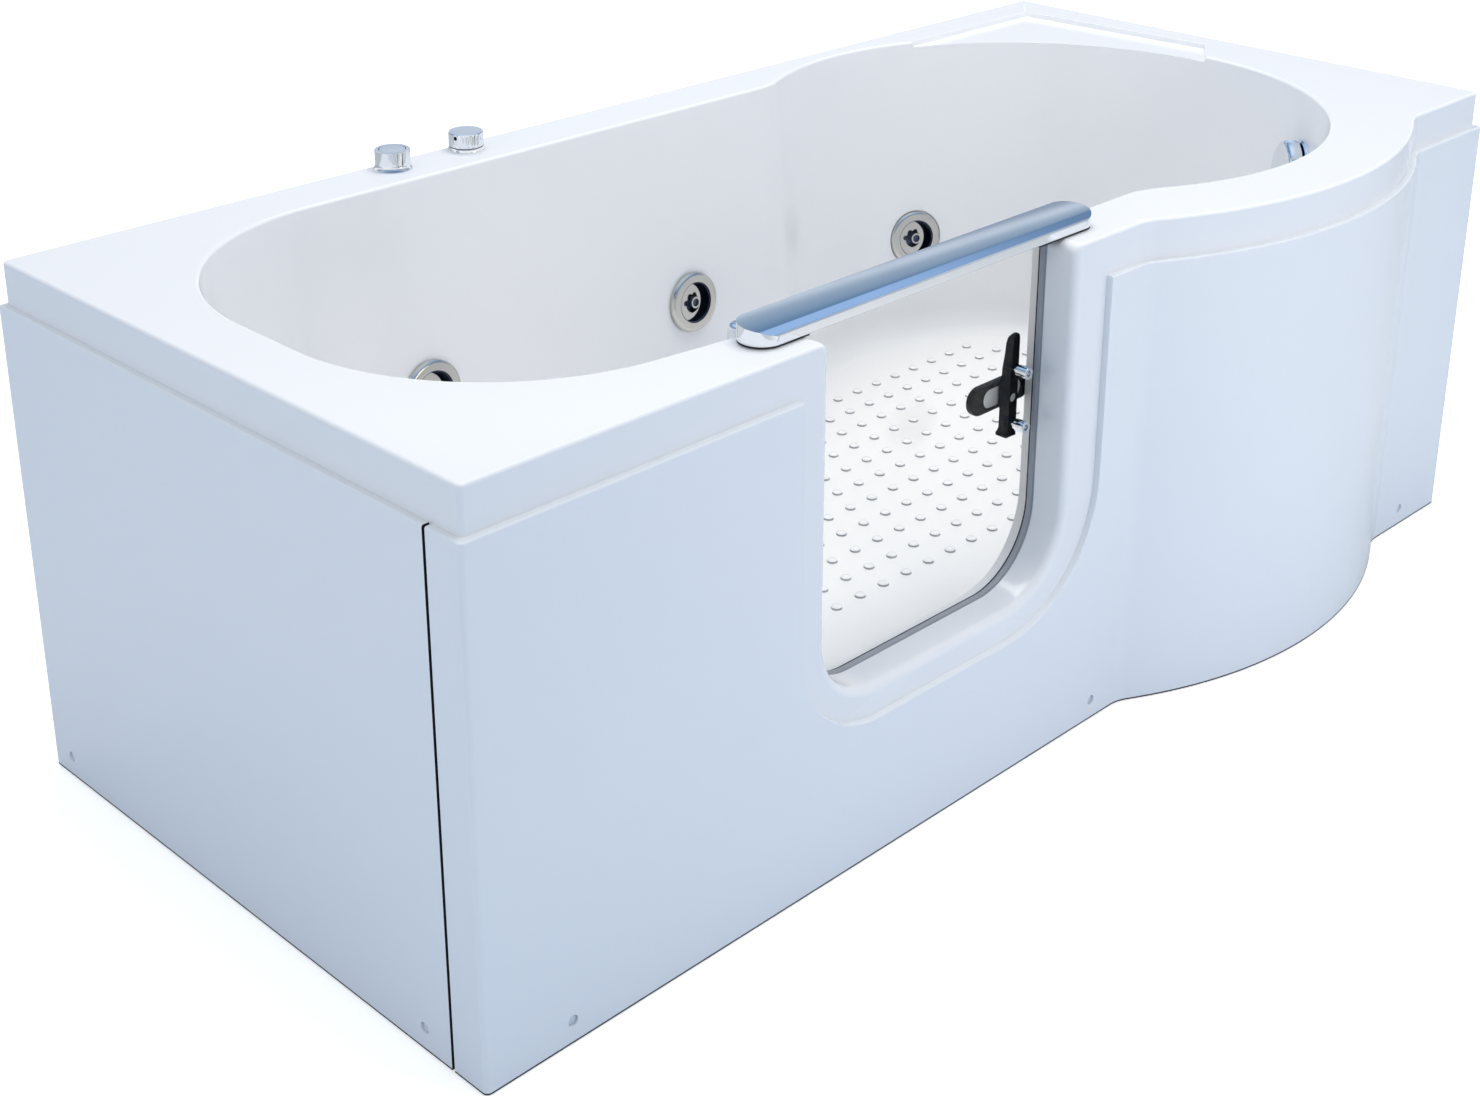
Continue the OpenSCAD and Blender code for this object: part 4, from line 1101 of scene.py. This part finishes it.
# %% Latch bar
LATCH_X, LATCH_Z = 801, 416
side_view = [(60, -46), (74, -46), (75, -44), (74, -40), (73, -37), (73, -14),
             (75, -10), (75, 12), (72, 24), (70, 62), (68, 70), (64, 75),
             (60, 75)]
front_view = [(-9.5, -46), (7, -46), (7, 69), (6, 73), (3.5, 75), (-0.5, 75),
              (-3, 73), (-4.2, 68), (-4.6, 52), (-7, 34), (-7, -36),
              (-7.6, -40), (-9.5, -42)]
bar = slab("latch_bar_piece", [(LATCH_X + x, LATCH_Z + z)
                               for x, z in front_view], 59, 77)
side = loft("side_view", [[(x, y, LATCH_Z + z) for y, z in side_view]
                          for x in (780, 820)])
boolean(bar, side, "INTERSECT")
boolean(bar, rod("eye", (LATCH_X, 59, LATCH_Z), (0, 1, 0), 5.05, 20))
round_edges(bar, 0.8, 3)
fit(bar, "latch_bar")

# %% [markdown]
# The lever turns on a spindle through the pane. Its rings shrink towards both
# faces, which rounds its edges, and the inlay fills the pocket with the same
# outline a tenth of a millimetre smaller.

# %% Lever and inlay
LEVER_X = 802
POCKET = (32.5, 11)


def oval(a, b):
    """Outline with round ends, half a long and half b wide."""
    return arc((a - b, 0), b, -90, 90, 20) + arc((b - a, 0), b, 90, 270, 20)


def lever_rings(a, b, rings):
    """Ovals drawn in by r, at each depth y."""
    return [[(LEVER_X + x, y, LATCH_Z + z) for x, z in oval(a - r, b - r)]
            for r, y in rings]


lever = loft("latch_lever_piece", lever_rings(52.5, 16.5, (
    (3.4, 86), (1.6, 85.7), (0.5, 84.8), (0, 83.4), (0, 78.4), (0.4, 77.2),
    (1.2, 76.4), (2.4, 76))))
boolean(lever, loft("pocket", lever_rings(*POCKET, ((0, 77.5), (0, 75)))))
boolean(lever, rod("eye", (LATCH_X, 75, LATCH_Z), (0, 1, 0), 5, 8))
fit(lever, "latch_lever")
inlay = loft("latch_inlay_piece", lever_rings(*POCKET, (
    (0.1, 77.5), (0.1, 76.7), (0.5, 76.4), (1.4, 76.2))))
boolean(inlay, rod("eye", (LATCH_X, 75, LATCH_Z), (0, 1, 0), 5.02, 8))
fit(inlay, "latch_inlay", finish_name="inlay")

# %% [markdown]
# ## The water jets
#
# Each jet is a flat polished ring with a rotor that turns in it. The rotor's
# face covers the bore except for a crescent outlet on one side, and has
# a lobed pocket beside the pin in its middle. Face and ring are turned metal.
# The cup behind them is a dark metal: painted shade, for the shade deep in
# the bore and the pocket.
#
# The face is where two discs meet, which leaves the crescent. It is drawn flat
# about the origin, where its cuts are easy to place, and then moved onto the
# wall by the jet's matrix.

# %% Profiles and helpers of a jet
ring_profile = [(27, -1.4), (27, 6.2), (27.3, 6.8), (27.9, 7), (35.2, 7),
                (36.6, 6.8), (38.0, 5.9), (39.2, 4.5), (39.9, 2.8), (40, 2),
                (40, -1.4)]
cup_profile = [(0, -14), (26.5, -14), (26.5, 5.3), (25.4, 5.3), (24.6, -3),
               (21, -8), (0, -9)]


def shaft(name, place, radius, low, high, sides=72):
    """An upright cylinder about a place near the origin."""
    return turned(name, [(0, low), (radius, low), (radius, high), (0, high)],
                  Matrix.Translation((place[0] / 1000, place[1] / 1000, 0)),
                  sides)


def rotor_face(radius, low, high, half):
    """A disc less the crescent outside a second, shifted disc."""
    face = shaft("rotor_face", (0, 0), radius, low, high)
    return boolean(face, shaft("half", half[:2], half[2], low - 1, high + 1),
                   "INTERSECT")


# %% Rings and rotors
# Middle and radius of each rotor's second disc, and the pocket's lobes
HALVES = [(2.2, 14.8, 26.6), (4.8, 16.3, 24.8), (2.2, 14.8, 26.6)]
LOBES = (((3, 18), 3.6), ((-8.5, 7), 4), ((10.5, 2), 4), ((9.5, 10), 4.5))
for i, jet in enumerate(JETS, 1):
    fit(turned(f"jet_{i}_ring_piece", ring_profile, jet, 96),
        f"jet_ring_{i}")
    face = rotor_face(26.5, 5.4, 6.5, HALVES[i - 1])
    boolean(face, rotor_face(25.2, -6, 5.6, HALVES[i - 1]), "UNION")
    pocket = shaft("pocket", (0, 5.5), 12, -4, 16)
    for place, radius in LOBES:
        boolean(pocket, shaft("lobe", place, radius, -4, 16, 32), "UNION")
    boolean(pocket, shaft("pin", (0, 0), 7.6, -5, 20))
    boolean(face, pocket)
    boolean(face, shaft("eye", (0, 0), 5.4, 3, 10))
    round_edges(face, 0.35, 2)
    face.data.transform(jet)
    face.name = f"jet_{i}_face_piece"
    fit(face, f"jet_nozzle_{i}", slot="nickel", finish_name="nickel")
    # The cup, the pocket's floor and the pin take the dark finish as painted
    # shade in the bore.
    cup = turned(f"jet_{i}_shade_cup_piece", cup_profile, jet, 72)
    stem = shaft("stem", (0, 0), 5, -40, -13, 32)
    stem.data.transform(jet)
    boolean(cup, stem, "UNION")
    pocket_floor = turned(
        "pocket_floor", [(0, -3.9), (13.4, -3.9), (13.4, -3.2), (0, -3.2)],
        jet @ Matrix.Translation((0, 0.0055, 0)), 32)
    pin = turned("pin", [(0, 3.1), (5.2, 3.1), (5.2, 4.0), (4.2, 4.4),
                         (0, 4.4)], jet, 32)
    cup = merge(f"jet_{i}_shade_cup_piece", [cup, pocket_floor, pin])
    fit(cup, slot="lever_black", body=f"nozzle_{i}",
        finish_name="rotor_shade_paint")

# %% [markdown]
# ## Controls on the rim
#
# The button is a cup with a flared foot and a disc that sinks into it, both
# spun. Their tops get a satin finish, since in the picture they mirror less
# than the sides.

# %% Push button
button_cup = turned("air_button_body_piece", [
    (4.05, -49), (12.4, -49), (12.4, -0.2), (22.4, 0), (22.8, 0.5),
    (22.6, 1.3), (21.6, 2.9), (21.0, 5), (20.7, 8), (20.7, 22.4),
    (20.2, 23.5), (19.2, 23.8), (16.6, 23.8), (16.1, 23.5), (15.9, 22.8),
    (15.9, 14), (4.05, 14)], Matrix.Translation(spot(*BUTTON, TUB_H)), 96)
fit(button_cup, "air_button_body", finish_name="chrome")
disc = turned("air_button_disc", [
    (0, -10), (4, -10), (4, 19), (15.5, 19), (15.5, 22.6), (15.2, 23.2),
    (14.5, 23.5), (8, 23.0), (0, 22.8)],
    Matrix.Translation(spot(*BUTTON, TUB_H)), 96)
fit(disc, "air_button", finish_name="chrome")


def on_top(middle, normal):
    """Whether a face is part of a control's flat top."""
    return middle[2] > TUB_H + 18 and normal.z > 0.8


for piece in (button_cup, disc):
    paint(piece, "satin_top", on_top)

# %% [markdown]
# The air knob turns on a fixed foot. It has fine flutes all round for grip,
# so it can't be spun. It is a stack of rings whose radius waves, and the wave
# fades out towards both ends. A black dot on its side marks the setting.

# %% Fluted knob
foot = turned("air_valve_foot", [
    (5.05, -54), (12.4, -54), (12.4, -0.2), (21.6, 0), (21.9, 0.5),
    (21.8, 1.4), (21.4, 3.4), (21.1, 4.3), (5.05, 4.4)],
    Matrix.Translation(spot(*VALVE, TUB_H)), 96)
fit(foot, "air_valve_body", finish_name="chrome")
FLUTES, DOT_TURN = 24, 195


def fluted(radius, depth, z):
    """A ring with shallow flutes."""
    ring = []
    for k in range(240):
        a = math.radians(1.5 * k)
        wave = max(0.0, math.cos(FLUTES * a)) ** 0.5
        r = radius - depth * wave
        ring.append((VALVE[0] + r * math.cos(a), VALVE[1] + r * math.sin(a),
                     TUB_H + z))
    return ring


knob = loft("air_knob_piece", [fluted(r, d, z) for r, d, z in (
    (20.2, 0, 4.7), (20.9, 0, 5.4), (21, 0.35, 6.2), (21, 0.45, 8),
    (21, 0.45, 18.6), (21, 0.2, 20), (21, 0, 20.6), (20.8, 0, 21.7),
    (20.1, 0, 22.4), (19.3, 0, 22.5))])
boolean(knob, rod("stem", (*VALVE, TUB_H - 26), (0, 0, 1), 5, 32), "UNION")
away = (math.cos(math.radians(DOT_TURN)), math.sin(math.radians(DOT_TURN)), 0)


def dot_place(radius):
    """A point this far from the knob's axis, in the dot's direction."""
    return (VALVE[0] + radius * away[0], VALVE[1] + radius * away[1],
            TUB_H + 17.4)


boolean(knob, rod("dot_seat", dot_place(20), away, 2.4, 4, 24))
fit(knob, "air_knob", finish_name="chrome", angle=24)
paint(knob, "satin_top", on_top)
dot = rod("air_knob_dot", dot_place(19.7), away, 2.35, 1.2, 24)
fit(dot, slot="lever_black", body="air_control")

# %% [markdown]
# ## Everything else
#
# The frame, feet, pipes, pump, hinge and fittings already have the right
# shape. A CAD node's mesh is loose triangles, so a copy of it is merged and
# smoothed, and stands for the node. Where a real edge would catch the light,
# on tubes, plates and nuts, the copy also gets a small bevel.

# %% Smooth copies of the remaining nodes
KEEP_EDGES = {"frame_side_rails": 1.0, "frame_cross_rails": 1.0,
              "frame_uprights": 1.0, "panel_cleats": 0.5, "base_board": 0.8,
              "hinge_brackets": 0.8, "hinge_clamps": 0.8, "foot_nuts": 0.6,
              "latch_keeper": 0.7, "latch_screws": 0.5}


def smooth_copy(node):
    """A merged and smoothed copy that stands for the node."""
    source = NODES[node]
    piece = bpy.data.objects.new(node + "_finished", source.data.copy())
    scene.collection.objects.link(piece)
    edit(piece)
    bpy.ops.mesh.remove_doubles(threshold=1e-5)
    bpy.ops.mesh.dissolve_limited(angle_limit=math.radians(0.5))
    bpy.ops.object.mode_set(mode="OBJECT")
    if node in KEEP_EDGES:
        round_edges(piece, KEEP_EDGES[node], 2, 50)
    return fit(piece, node, angle=30)


rest = [smooth_copy(node) for node in NODES if node not in done]
print("smooth copies:", len(rest))
